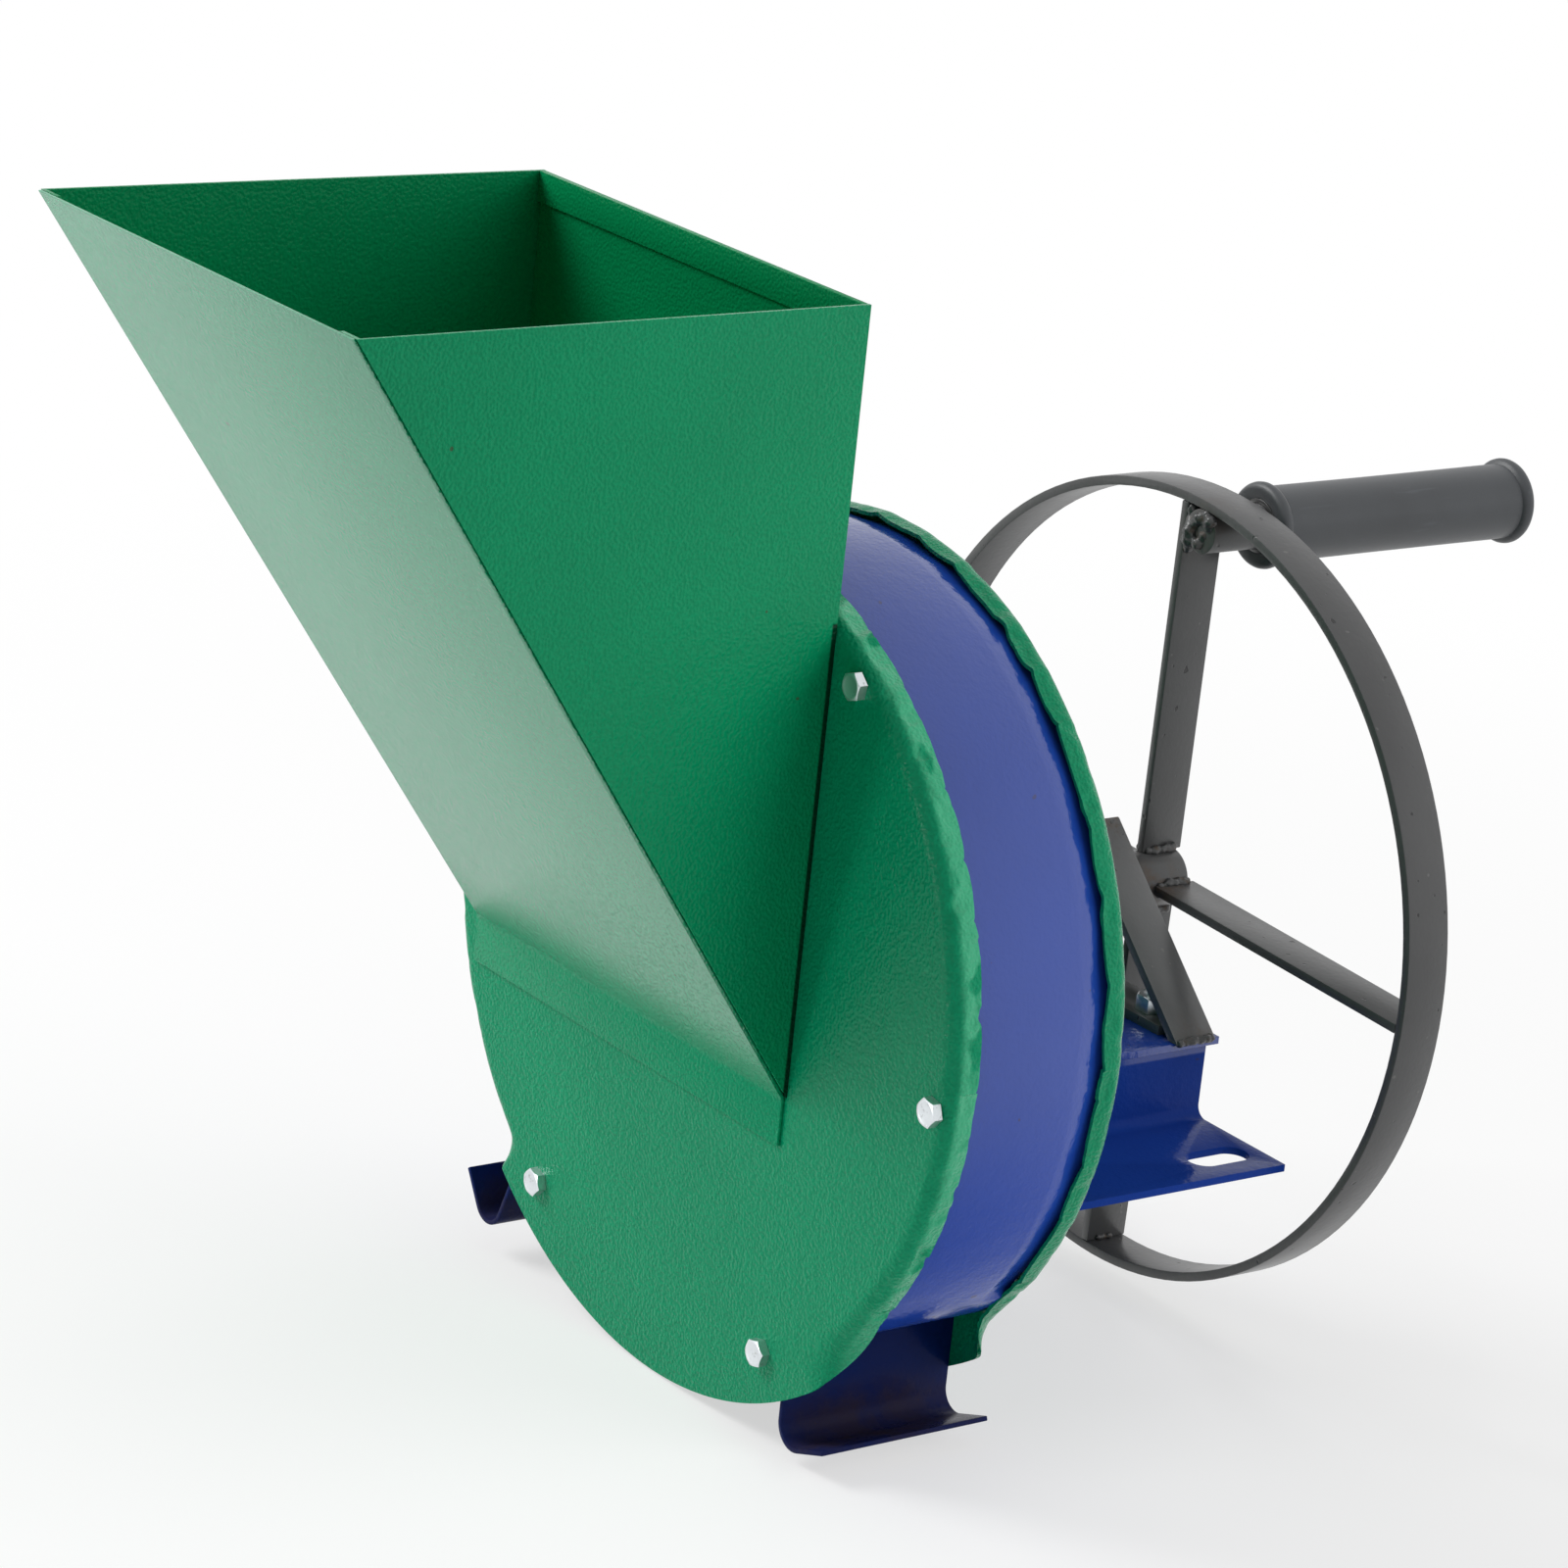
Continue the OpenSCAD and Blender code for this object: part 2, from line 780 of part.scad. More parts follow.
// A folded angle: upright web, bend and flange with its slot
module bench_angle() {
    web_x = half_bracket - plate_t;
    outer_r = angle_r + plate_t;
    web_h = bracket_h - plate_t - outer_r;
    bend_x = half_bracket + angle_r;
    difference() {
        translate([0, slot_setback, 0])
            rotate([90, 0, 0]) {
                translate([web_x, outer_r, 0])
                    cube([plate_t, web_h, angle_len]);
                translate([bend_x, outer_r, 0])
                    rotate([0, 0, 180])
                        rotate_extrude(angle = 90)
                            translate([angle_r, 0])
                                square([plate_t, angle_len]);
                translate([bend_x, 0, 0])
                    cube([bench_edge_x - bend_x, plate_t, angle_len]);
            }
        bench_slot();
    }
}

// The slot for a bolt or a clamp, its ends round
module bench_slot() {
    half = (slot_len - slot_w) / 2;
    for (end = [-half, half])
        translate([slot_x, end, -over])
            cylinder(h = plate_t + 2 * over, r = slot_w / 2);
    translate([slot_x - slot_w / 2, -half, -over])
        cube([slot_w, 2 * half, plate_t + 2 * over]);
}

module bench_angle_right() {
    color(blue)
        bench_angle();
}

module bench_angle_left() {
    color(blue)
        mirror([1, 0, 0])
            bench_angle();
}

// A strut from the apex above the bearing tube down to the top plate
function strut_x(off, z) = (off - z * cos(strut_slope)) / sin(strut_slope);
strut_end = bracket_h - shaft_h;

module strut() {
    along_y(stand_y, stand_end_y)
        polygon([[0, strut_out / cos(strut_slope)], [strut_x(strut_out, strut_end), strut_end],
            [strut_x(strut_in, strut_end), strut_end], [0, strut_in / cos(strut_slope)]]);
}

module strut_right() {
    color(black)
        strut();
}

module strut_left() {
    color(black)
        mirror([1, 0, 0])
            strut();
}

// Bar on the top plate between the struts' feet
module stand_base_bar() {
    half = strut_x(strut_in, strut_end) - base_gap - bar_t;
    color(black)
        difference() {
            translate([-half, stand_y, bracket_h])
                cube([2 * half, bar_w, bar_t]);
            for (side = [-1, 1])
                translate([side * stand_bolt_x, stand_y + bar_w / 2, bracket_h - over])
                    cylinder(h = bar_t + 2 * over, r = stand_bolt_d / 2 + hole_gap);
        }
}

module stand_bolts() {
    color(zinc)
        for (side = [-1, 1])
            translate([side * stand_bolt_x, stand_y + bar_w / 2, bracket_h - plate_t])
                bolt(plate_t + bar_t + nut_h + stand_thread,
                    stand_bolt_d, stand_hex_w, stand_head_h);
}

module stand_nuts() {
    color(zinc)
        for (side = [-1, 1])
            translate([side * stand_bolt_x, stand_y + bar_w / 2, bracket_h + bar_t])
                nut(stand_hex_w, nut_h, stand_bolt_d);
}

// Tube that carries both bearings, welded to the rear cover and the struts
module bearing_housing() {
    color(black)
        ring(rear_y, stand_end_y, tube_r, bearing_r + seat_gap);
}

// Ball groove of one bearing, cut into both rings
module groove(y) {
    turned()
        translate([ball_circle_r, y + bearing_w / 2])
            circle(groove_r);
}

module bearing_outer_rings() {
    color(steel)
        for (y = [front_bearing_y, rear_bearing_y])
            difference() {
                ring(y, y + bearing_w, bearing_r, outer_ring_r);
                groove(y);
            }
}

module bearing_inner_rings() {
    color(steel)
        for (y = [front_bearing_y, rear_bearing_y])
            difference() {
                ring(y, y + bearing_w, inner_ring_r, shaft_r + seat_gap);
                groove(y);
            }
}

module bearing_balls() {
    color(steel)
        for (y = [front_bearing_y, rear_bearing_y], i = [0 : ball_count - 1])
            rotate_about_shaft(i * 360 / ball_count)
                translate([ball_circle_r, y + bearing_w / 2, shaft_h])
                    sphere(ball_d / 2);
}

// Shaft from the disc nut back to the wheel's hub
module main_shaft() {
    color(steel)
        rod(disc_nut_y - seat_gap, hub_y + hub_len, shaft_r);
}

// Sleeve between the disc's boss and the front bearing
module front_spacer() {
    color(steel)
        ring(boss_end_y, front_bearing_y, spacer_d / 2, shaft_r + seat_gap);
}

// Sleeve between the rear bearing and the wheel's hub
module rear_spacer() {
    color(steel)
        ring(rear_bearing_y + bearing_w, hub_y, spacer_d / 2, shaft_r + seat_gap);
}

module flywheel_hub() {
    color(black)
        ring(hub_y, hub_y + hub_len, hub_r, shaft_r + seat_gap);
}

module flywheel_rim() {
    color(black)
        ring(rim_y, rim_end_y, rim_r, rim_inner_r);
}

// A flat bar on edge from the hub to the rim
module spoke(angle) {
    color(black)
        rotate_about_shaft(angle)
            translate([hub_r + seat_gap, rim_y, shaft_h - bar_t / 2])
                cube([rim_inner_r - hub_r - 3 * seat_gap, bar_w, bar_t]);
}

module spoke_right() {
    spoke(right_spoke_angle);
}

module spoke_top() {
    spoke(top_spoke_angle);
}

module spoke_left() {
    spoke(left_spoke_angle);
}

module spoke_bottom() {
    spoke(bottom_spoke_angle);
}

// A round bar on the crank pin's own axis
module pin_rod(y0, y1, r) {
    rod(y0, y1, r, pin_circle_r, pin_angle);
}

// Pin in the corner of the top spoke and the rim, drilled at its free end
module crank_pin() {
    end_y = grip_end_y - recess_h + running_gap;
    color(black)
        difference() {
            pin_rod(rim_y, end_y, pin_r);
            pin_rod(end_y - pin_d, end_y + over, pin_screw_d / 2 + seat_gap);
        }
}

// Washer that keeps the grip on the pin
module pin_end_washer() {
    y = grip_end_y - recess_h + running_gap;
    color(zinc)
        difference() {
            pin_rod(y, y + pin_washer_t, pin_washer_d / 2);
            pin_rod(y - over, y + pin_washer_t + over, pin_screw_d / 2 + seat_gap);
        }
}

// Screw with a low round head that holds the washer
module pin_end_screw() {
    y = grip_end_y - recess_h + running_gap + pin_washer_t;
    color(zinc) {
        pin_rod(y, y + pin_screw_h, pin_head_d / 2);
        pin_rod(y - pin_washer_t - pin_d + over, y, pin_screw_d / 2);
    }
}

// Flange and boss that carry the grater disc on the shaft
module disc_hub() {
    color(steel)
        difference() {
            union() {
                rod(disc_flange_y, disc_flange_y + disc_flange_t, disc_flange_r);
                rod(disc_flange_y, boss_end_y, boss_r);
            }
            rod(disc_flange_y - over, boss_end_y + over, shaft_r + seat_gap);
            for (i = [0 : screw_count - 1])
                rod(disc_flange_y - over, disc_flange_y + disc_flange_t + over,
                    screw_d / 2 + seat_gap, screw_circle_r, i * 360 / screw_count);
        }
}

// Places of the burrs: each row leans a little more, so the rows wind outwards
module at_burrs() {
    last_burr_r = disc_d / 2 - burr_foot_r - burr_margin;
    step = (last_burr_r - first_burr_r) / (burrs_in_row - 0.5);
    for (row = [0 : burr_rows - 1], i = [0 : burrs_in_row - 1])
        let (r = first_burr_r + step * (i + (row % 2) / 2),
             angle = row * 360 / burr_rows + 360 / burr_rows * i / burrs_in_row)
            translate([r * cos(angle), 0, r * sin(angle)])
                children();
}

// Steel disc with rows of burrs: raised collars with an open throat
module grater_disc() {
    color(zinc)
        difference() {
            union() {
                rod(disc_y, disc_flange_y, disc_d / 2);
                at_burrs()
                    translate([0, disc_y, shaft_h])
                        rotate([90, 0, 0])
                            cylinder(h = burr_h, r1 = burr_foot_r, r2 = burr_tip_r);
            }
            at_burrs()
                rod(burr_y - over, disc_flange_y + over, burr_hole_r);
            rod(disc_y - over, disc_flange_y + over, shaft_r + seat_gap);
            for (i = [0 : screw_count - 1])
                rod(disc_y - over, disc_flange_y + over, screw_d / 2 + hole_gap,
                    screw_circle_r, i * 360 / screw_count);
        }
}

module disc_screws() {
    color(zinc)
        for (i = [0 : screw_count - 1]) {
            angle = i * 360 / screw_count;
            rod(disc_y - screw_head_h, disc_y, screw_head_d / 2, screw_circle_r, angle);
            rod(disc_y, disc_flange_y + disc_flange_t, screw_d / 2, screw_circle_r, angle);
        }
}

module disc_washer() {
    color(zinc)
        ring(disc_y - disc_washer_t, disc_y, disc_washer_d / 2, shaft_r + seat_gap);
}

module shaft_nut() {
    color(zinc)
        translate([0, disc_y - disc_washer_t, shaft_h])
            rotate([90, 0, 0])
                nut(shaft_nut_w, shaft_nut_h, shaft_d);
}

// A profile of (radius, Y) turned about the crank pin
module turned_on_pin() {
    translate([pin_circle_r * cos(pin_angle), 0, pin_circle_r * sin(pin_angle)])
        turned()
            children();
}

// Steel tube that turns on the crank pin
module grip_tube() {
    color(steel)
        turned_on_pin()
            translate([pin_r + pin_gap, grip_y])
                square([grip_wall, grip_len - recess_h]);
}

// A collar of the grip, its outer corners rounded
module collar_section() {
    outer = collar_d / 2 - collar_r;
    for (y = [collar_r, collar_w - collar_r])
        translate([outer, y])
            circle(collar_r);
    translate([outer, collar_r])
        square([collar_r, collar_w - 2 * collar_r]);
    translate([pin_r, 0])
        square([outer - pin_r, collar_w]);
}

// Hollow blend beside a collar, along +Y from the collar's face
module blend_section() {
    difference() {
        translate([grip_d / 2 - over, -over])
            square([blend_r + over, blend_r + over]);
        translate([grip_d / 2 + blend_r, blend_r])
            circle(blend_r);
    }
}

// Rubber grip: a straight barrel between two collars
module rubber_grip() {
    bore_r = pin_r + pin_gap + grip_wall + seat_gap;
    color(rubber)
        turned_on_pin()
            difference() {
                union() {
                    translate([pin_r, grip_y])
                        square([grip_d / 2 - pin_r, grip_len]);
                    for (y = [grip_y, grip_end_y - collar_w])
                        translate([0, y])
                            collar_section();
                    translate([0, grip_y + collar_w - collar_r])
                        blend_section();
                    translate([0, grip_end_y - collar_w + collar_r])
                        mirror([0, 1])
                            blend_section();
                }
                translate([0, grip_y - over])
                    square([bore_r, grip_len + 2 * over]);
                translate([0, grip_end_y - recess_h])
                    square([pin_washer_d / 2 + running_gap, recess_h + over]);
            }
}

front_cover();
rear_cover();
drum_band();
right_foot();
left_foot();
hopper_slope();
hopper_right_side();
hopper_left_side();
hopper_back();
cover_bolts();
cover_lugs();
bracket_top_plate();
bench_angle_right();
bench_angle_left();
strut_right();
strut_left();
stand_base_bar();
stand_bolts();
stand_nuts();
bearing_housing();
bearing_outer_rings();
bearing_balls();
bearing_inner_rings();
main_shaft();
front_spacer();
rear_spacer();
flywheel_hub();
flywheel_rim();
spoke_right();
spoke_top();
spoke_left();
spoke_bottom();
crank_pin();
pin_end_washer();
pin_end_screw();
disc_hub();
grater_disc();
disc_screws();
disc_washer();
shaft_nut();
grip_tube();
rubber_grip();
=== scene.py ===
"""Finish of a hand-cranked apple scratter, built round its construction model.

Each operator below dresses one group of pieces: hammered green sheet, glossy blue drum,
black painted wheel with its welds, zinc bolts, rubber grip and the grating disc inside.
"""

import math
import random
from contextlib import contextmanager

import bmesh
import bpy
from bpy.props import FloatProperty, FloatVectorProperty, IntProperty, PointerProperty
from mathutils import Matrix, Vector, noise


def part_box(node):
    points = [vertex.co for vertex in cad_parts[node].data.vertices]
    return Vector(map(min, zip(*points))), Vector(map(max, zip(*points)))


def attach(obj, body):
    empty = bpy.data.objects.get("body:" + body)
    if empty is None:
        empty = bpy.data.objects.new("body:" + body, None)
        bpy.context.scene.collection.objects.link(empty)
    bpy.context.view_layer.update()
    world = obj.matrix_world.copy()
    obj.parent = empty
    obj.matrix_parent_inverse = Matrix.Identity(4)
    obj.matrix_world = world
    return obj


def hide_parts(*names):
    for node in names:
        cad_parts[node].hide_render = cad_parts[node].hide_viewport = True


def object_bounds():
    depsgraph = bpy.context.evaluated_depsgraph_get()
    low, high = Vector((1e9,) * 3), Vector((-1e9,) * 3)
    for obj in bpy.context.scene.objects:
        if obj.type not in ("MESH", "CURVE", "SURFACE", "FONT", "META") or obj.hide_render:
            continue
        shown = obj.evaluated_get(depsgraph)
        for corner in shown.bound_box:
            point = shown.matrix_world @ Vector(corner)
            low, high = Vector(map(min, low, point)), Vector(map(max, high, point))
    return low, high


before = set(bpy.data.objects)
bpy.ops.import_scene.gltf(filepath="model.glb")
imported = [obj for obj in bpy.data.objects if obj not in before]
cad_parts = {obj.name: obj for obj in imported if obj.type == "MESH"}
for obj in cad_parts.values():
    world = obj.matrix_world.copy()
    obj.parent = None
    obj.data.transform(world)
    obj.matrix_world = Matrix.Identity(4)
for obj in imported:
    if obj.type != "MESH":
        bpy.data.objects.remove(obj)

bl_info = {
    "name": "Apple scratter finish",
    "version": (1, 0, 0),
    "blender": (4, 5, 0),
    "location": "View3D > Sidebar > Scratter",
    "description": "Builds the surfaces, welds and fasteners of a hand-cranked fruit mill",
    "category": "Object",
}

MM = 0.001

# Places and sizes that the construction model gives


def corners(node):
    low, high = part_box(node)
    return Vector(low), Vector(high)


def middle(node):
    low, high = corners(node)
    return (low + high) / 2


def radius_of(node):
    low, high = corners(node)
    return (high.x - low.x) / 2


def plain_box():
    return [[float(v) for v in corner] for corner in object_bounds()]


CAD_BOX = plain_box()
SHAFT_X = middle("flywheel_rim").x
SHAFT_Z = middle("flywheel_rim").z
FRONT_Y = corners("front_cover")[0].y
REAR_Y = corners("rear_cover")[1].y
COVER_R = radius_of("front_cover")
APRON_R = SHAFT_Z - corners("front_cover")[0].z - 0.02 * MM
RIM_Y0, RIM_Y1 = (corner.y for corner in corners("flywheel_rim"))
RIM_R = radius_of("flywheel_rim")
HUB_R = radius_of("flywheel_hub")
HUB_Y0 = corners("flywheel_hub")[0].y
PIN = middle("crank_pin")
BOLT_CIRCLE = 156 * MM
BOLT_WIDTH, BOLT_HEIGHT = 10 * MM, 4 * MM
FEED_LEFT, FEED_RIGHT, FEED_DROP, FEED_R = 130 * MM, 55 * MM, 22 * MM, 142 * MM
# Angles in degrees, seen from the hopper, between which a flange fades out to the apron
FRONT_ENDS = (-39, -54.5, -129.5, -134.0)
REAR_ENDS = (-45, -55.5, -131.5, -134)
SPOKES = {
    "spoke_right": -2.3, "spoke_top": 89.5, "spoke_left": 177.7, "spoke_bottom": 268.5}
WHITE = (1, 1, 1, 1)


# Sizes and colours that a user would change


def tone(name, description, default):
    return FloatVectorProperty(
        name=name, description=description, default=default, size=3, min=0, max=1,
        subtype="COLOR")


def span(name, description, default, low, high):
    return FloatProperty(
        name=name, description=description, default=default, min=low, max=high,
        subtype="DISTANCE", unit="LENGTH")


def bearing(name, description, degrees, low=-math.pi, high=math.pi):
    return FloatProperty(
        name=name, description=description, default=math.radians(degrees), min=low, max=high,
        subtype="ANGLE", unit="ROTATION")


class PaintSettings(bpy.types.PropertyGroup):
    green: tone("Green", "Colour of the hammered sheet paint", (0.002, 0.280, 0.125))
    blue: tone("Blue", "Colour of the drum and bracket paint", (0.009, 0.037, 0.235))
    black: tone("Black", "Colour of the wheel and stand paint", (0.056, 0.0567, 0.0580))
    rubber: tone("Rubber", "Colour of the grip", (0.043, 0.047, 0.052))
    scorch: tone("Scorch", "Colour of burnt paint beside a weld", (0.045, 0.028, 0.016))
    peel_scale: FloatProperty(
        name="Hammer grain", description="Grains of the hammered paint in a metre",
        default=760, min=100, max=1200)
    peel_depth: span("Hammer depth", "Height of the hammered grain", 0.24 * MM, 0, 0.001)


class CoverSettings(bpy.types.PropertyGroup):
    sheet: span("Sheet", "Thickness of the cover's sheet", 1.5 * MM, 0.0005, 0.003)
    bend: span("Rim bend", "Outer radius of the bend at the rim", 7 * MM, 0.003, 0.01)
    give: span("Hammer give", "Room for the flange to bulge outwards", 0.1 * MM, 0, 0.003)
    turn: bearing("Drum turn", "Turn of the drum against the hopper", -3.3, -0.2, 0.2)
    dent: bearing("Hammer dents", "Swing of the flange under the hammer", 14, 0, 0.3)
    lobes: IntProperty(
        name="Hammer blows", description="Hammer blows round a full turn of flange",
        default=31, min=8, max=60)


class WeldSettings(bpy.types.PropertyGroup):
    voxel: span("Weld detail", "Size of the smallest lump in a weld", 0.6 * MM, 0.0003, 0.002)
    bead: span("Bead radius", "Radius of a weld bead", 2.6 * MM, 0.001, 0.006)
    seed: IntProperty(
        name="Seed", description="Seed of the lumps in the welds", default=7, min=0)


class GripSettings(bpy.types.PropertyGroup):
    neck: span("Collar blend", "Radius from the barrel to a collar", 3.4 * MM, 0.001, 0.006)


class StageSettings(bpy.types.PropertyGroup):
    azimuth: bearing("Azimuth", "Turn of the camera round the object", 52.3731)
    elevation: bearing("Elevation", "Height angle of the camera", 17.6027)
    roll: bearing("Roll", "Roll of the camera", 6.0419)
    place: FloatVectorProperty(
        name="Camera", description="Place of the camera",
        default=(1.612752, -1.379583, 0.798553), size=3, subtype="TRANSLATION", unit="LENGTH")
    lens: FloatProperty(
        name="Lens", description="Focal length of the camera in millimetres",
        default=128.7245, min=10, max=300)
    shift_x: FloatProperty(name="Shift X", description="Sideways shift", default=-0.0158234)
    shift_y: FloatProperty(name="Shift Y", description="Upward shift", default=-0.0270301)
    ambient: FloatProperty(
        name="Ambient", description="Strength of the even light", default=0.14, min=0)
    key: FloatProperty(
        name="Key light", description="Power of the main lamp", default=57, min=0, unit="POWER")


SETTINGS = {
    "scratter_paint": PaintSettings,
    "scratter_cover": CoverSettings,
    "scratter_weld": WeldSettings,
    "scratter_grip": GripSettings,
    "scratter_stage": StageSettings,
}


def settings(name):
    return getattr(bpy.context.scene, "scratter_" + name)


# Shader sums as plain expressions


def sum_by(operation, swapped=False):
    """A method of Value that adds a Math node."""
    def method(self, other):
        first, second = (other, self) if swapped else (self, other)
        return self.nodes.node("Math", {"operation": operation}, {0: first, 1: second})
    return method


class Value:
    """A shader socket that takes part in Python sums."""

    def __init__(self, nodes, socket):
        self.nodes = nodes
        self.socket = socket

    __add__, __radd__ = sum_by("ADD"), sum_by("ADD", True)
    __sub__, __rsub__ = sum_by("SUBTRACT"), sum_by("SUBTRACT", True)
    __mul__, __rmul__ = sum_by("MULTIPLY"), sum_by("MULTIPLY", True)
    larger = sum_by("MAXIMUM")


class Nodes:
    """The nodes of a material or world, added by calls and joined by expressions."""

    def __init__(self, owner, kind):
        owner.use_nodes = True
        self.tree = owner.node_tree
        self.tree.nodes.clear()
        self.output = self.tree.nodes.new("ShaderNodeOutput" + kind)

    def put(self, socket, value):
        if isinstance(value, Value):
            self.tree.links.new(value.socket, socket)
        else:
            socket.default_value = value

    def node(self, kind, options=None, inputs=None, output=0):
        made = self.tree.nodes.new("ShaderNode" + kind)
        for option, value in (options or {}).items():
            setattr(made, option, value)
        for key, value in (inputs or {}).items():
            self.put(made.inputs[key], value)
        return Value(self, made.outputs[output])

    def show(self, shader):
        self.put(self.output.inputs["Surface"], shader)

    def show_mixed(self, factor, first, second):
        """Shows the second shader where the factor is high, and else the first."""
        self.show(self.node("MixShader", inputs={0: factor, 1: first, 2: second}))

    def seen_rays(self, camera_share):
        """A share of the camera's rays, and all mirrored and refracted ones."""
        path = self.tree.nodes.new("ShaderNodeLightPath")
        camera, mirrored, refracted = (
            Value(self, path.outputs[f"Is {kind} Ray"])
            for kind in ("Camera", "Glossy", "Transmission"))
        return (camera * camera_share).larger(mirrored.larger(refracted))


class Paint(Nodes):
    """One material, round its Principled shader."""

    def __init__(self, name):
        self.material = bpy.data.materials.new(name)
        super().__init__(self.material, "Material")
        self.shader = self.tree.nodes.new("ShaderNodeBsdfPrincipled")
        self.plain = Value(self, self.shader.outputs["BSDF"])
        self.show(self.plain)

    def set(self, **values):
        for name, value in values.items():
            self.put(self.shader.inputs[name.replace("_", " ")], value)

    def glossier(self, factor, mirror, rough, ior=1.5):
        """The same paint with a stronger mirror, mixed in where the factor is high."""
        inputs = {"Roughness": rough, "Specular IOR Level": mirror, "IOR": ior}
        for name in ("Base Color", "Normal"):
            inputs[name] = Value(self, self.shader.inputs[name].links[0].from_socket)
        second = self.node("BsdfPrincipled", inputs=inputs)
        self.show_mixed(factor, self.plain, second)

    def place(self):
        """Object coordinates in metres."""
        return self.node("TexCoord", output="Object")

    def place_scaled(self, scale):
        return self.node("Mapping", inputs={"Vector": self.place(), "Scale": scale})

    def axis(self, which):
        split = self.tree.nodes.new("ShaderNodeSeparateXYZ")
        self.put(split.inputs[0], self.place())
        return Value(self, split.outputs[which])

    def grain(self, scale, detail=2.0, rough=0.5, place=None):
        return self.node("TexNoise", inputs={
            "Vector": place or self.place(), "Scale": scale, "Detail": detail,
            "Roughness": rough})

    def ramp(self, value, *stops):
        """The value as a grey that runs between two stops of (position, level)."""
        made = self.node("ValToRGB", inputs={0: value})
        for element, (position, level) in zip(made.socket.node.color_ramp.elements, stops):
            element.position = position
            element.color = (level, level, level, 1.0)
        return made

    def mix(self, factor, first, second):
        return self.node(
            "Mix", {"data_type": "RGBA"}, {0: factor, 6: rgba(first), 7: rgba(second)}, output=2)

    def bump(self, height, distance, strength=1.0, normal=None):
        inputs = {"Height": height, "Distance": distance, "Strength": strength}
        if normal is not None:
            inputs["Normal"] = normal
        return self.node("Bump", inputs=inputs)

    def near(self, centre, reach, stretch=(1, 1, 1)):
        """One close to a point, falling to zero at reach."""
        offset = self.node("VectorMath", {"operation": "SUBTRACT"}, {
            0: self.place(), 1: tuple(centre)})
        scaled = self.node("VectorMath", {"operation": "MULTIPLY"}, {0: offset, 1: stretch})
        length = self.node("VectorMath", {"operation": "LENGTH"}, {0: scaled}, output="Value")
        return self.eased_range(length, 0.0, reach, 1.0, 0.0)

    def eased_range(self, value, low, high, first=0.0, last=1.0):
        return self.node("MapRange", {"interpolation_type": "SMOOTHSTEP"}, {
            "Value": value, "From Min": low, "From Max": high, "To Min": first, "To Max": last})

    def coat(self, base, rough, height, depth, **values):
        """The material with its colour, its roughness and its relief set."""
        self.set(Base_Color=base, Roughness=rough, Normal=self.bump(height, depth), **values)
        return self.material


def climb(paint, axis, low, high):
    """Zero below low and one above high along an axis of the object."""
    return paint.eased_range(paint.axis(axis), low, high)


def rgba(value):
    if isinstance(value, Value):
        return value
    return (value[0], value[1], value[2], 1.0)


def shade(colour, factor):
    return tuple(min(1.0, part * factor) for part in colour)


def hammered(
        name, colour, mirror=0.2, depth=1.0, rough=0.23, gloss=None, seam=None, flange=None):
    """Powder coat with a hammered grain, a finer skin and a few burnt specks.

    gloss gives the heights above which the paint gets a much stronger mirror, a painted
    reflection; seam gives the Y at which a panel meets the cover, where a nearly black
    painted shadow stands for the gap; flange gives the Y of a cover's bend and of its free
    edge, between which the paint gets a painted highlight and sheen, weaker towards the
    bottom and left out in patches near the free edge as painted shade of the hammer dents."""
    paint = Paint(name)
    look = settings("paint")
    warp = paint.grain(90, 1.0)
    grain = paint.grain(look.peel_scale, 0.6, 0.4)
    worms = paint.ramp(grain + (warp - 0.5) * 0.10, (0.28, 0.0), (0.72, 1.0))
    skin = paint.grain(look.peel_scale * 3, 1.0)
    cloud = paint.grain(14, 2.0)
    specks = paint.ramp(paint.grain(170, 0.0), (0.885, 0.0), (0.90, 1.0))
    base = paint.mix(cloud, shade(colour, 0.90), shade(colour, 1.10))
    base = paint.mix((1 - worms) * 0.30, base, shade(colour, 0.55))
    base = paint.mix(specks * 0.65, base, shade(look.scorch, 1.2))
    # Painted shadow: a nearly black strip, about 1.6 mm wide, on the panel beside the cover
    # stands for the shadow in the gap where the panel meets the cover.
    if seam is not None:
        side_x = corners("hopper_right_side")[1].x - SHAFT_X
        top = SHAFT_Z + math.sqrt(COVER_R ** 2 - side_x ** 2)
        painted_gap_shadow = climb(paint, "Y", seam - 2.6 * MM, seam - 1.6 * MM) * (
            1 - climb(paint, "Z", top - 1 * MM, top))
        base = paint.mix(painted_gap_shadow * 0.92, base, shade(colour, 0.04))
    # Painted highlight: the flange, from the bend to the free edge, gets a lighter green that is
    # weaker towards the bottom of the drum. Patches near the free edge are left out of it as
    # painted shade of the hammer dents.
    if flange is not None:
        bend, edge = flange
        marks = paint.ramp(paint.grain(62, 1.0), (0.575, 0.0), (0.63, 1.0)) * climb(
            paint, "Y", edge - 10 * MM, edge - 5 * MM)
        bright = climb(paint, "Y", bend - 3 * MM, bend) * (1 - marks)
        bright = bright * (0.35 + 0.65 * climb(
            paint, "Z", SHAFT_Z - 0.5 * COVER_R, SHAFT_Z - 0.05 * COVER_R))
        base = paint.mix(bright, base, shade(colour, 1.3))
    fine = paint.bump(skin, look.peel_depth * 0.10)
    paint.set(
        Base_Color=base, Roughness=rough + (cloud - 0.5) * 0.06, Specular_IOR_Level=mirror,
        Normal=paint.bump(worms, look.peel_depth * depth, normal=fine))
    # Painted reflection: above the gloss heights the paint gets a much stronger mirror.
    if gloss is not None:
        paint.glossier(climb(paint, "Z", *gloss), 1.0, 0.27, 1.7)
    # Painted sheen: the same highlight mask also makes the flange glossier.
    if flange is not None:
        paint.glossier(bright, mirror + 0.55, 0.27)
    return paint.material


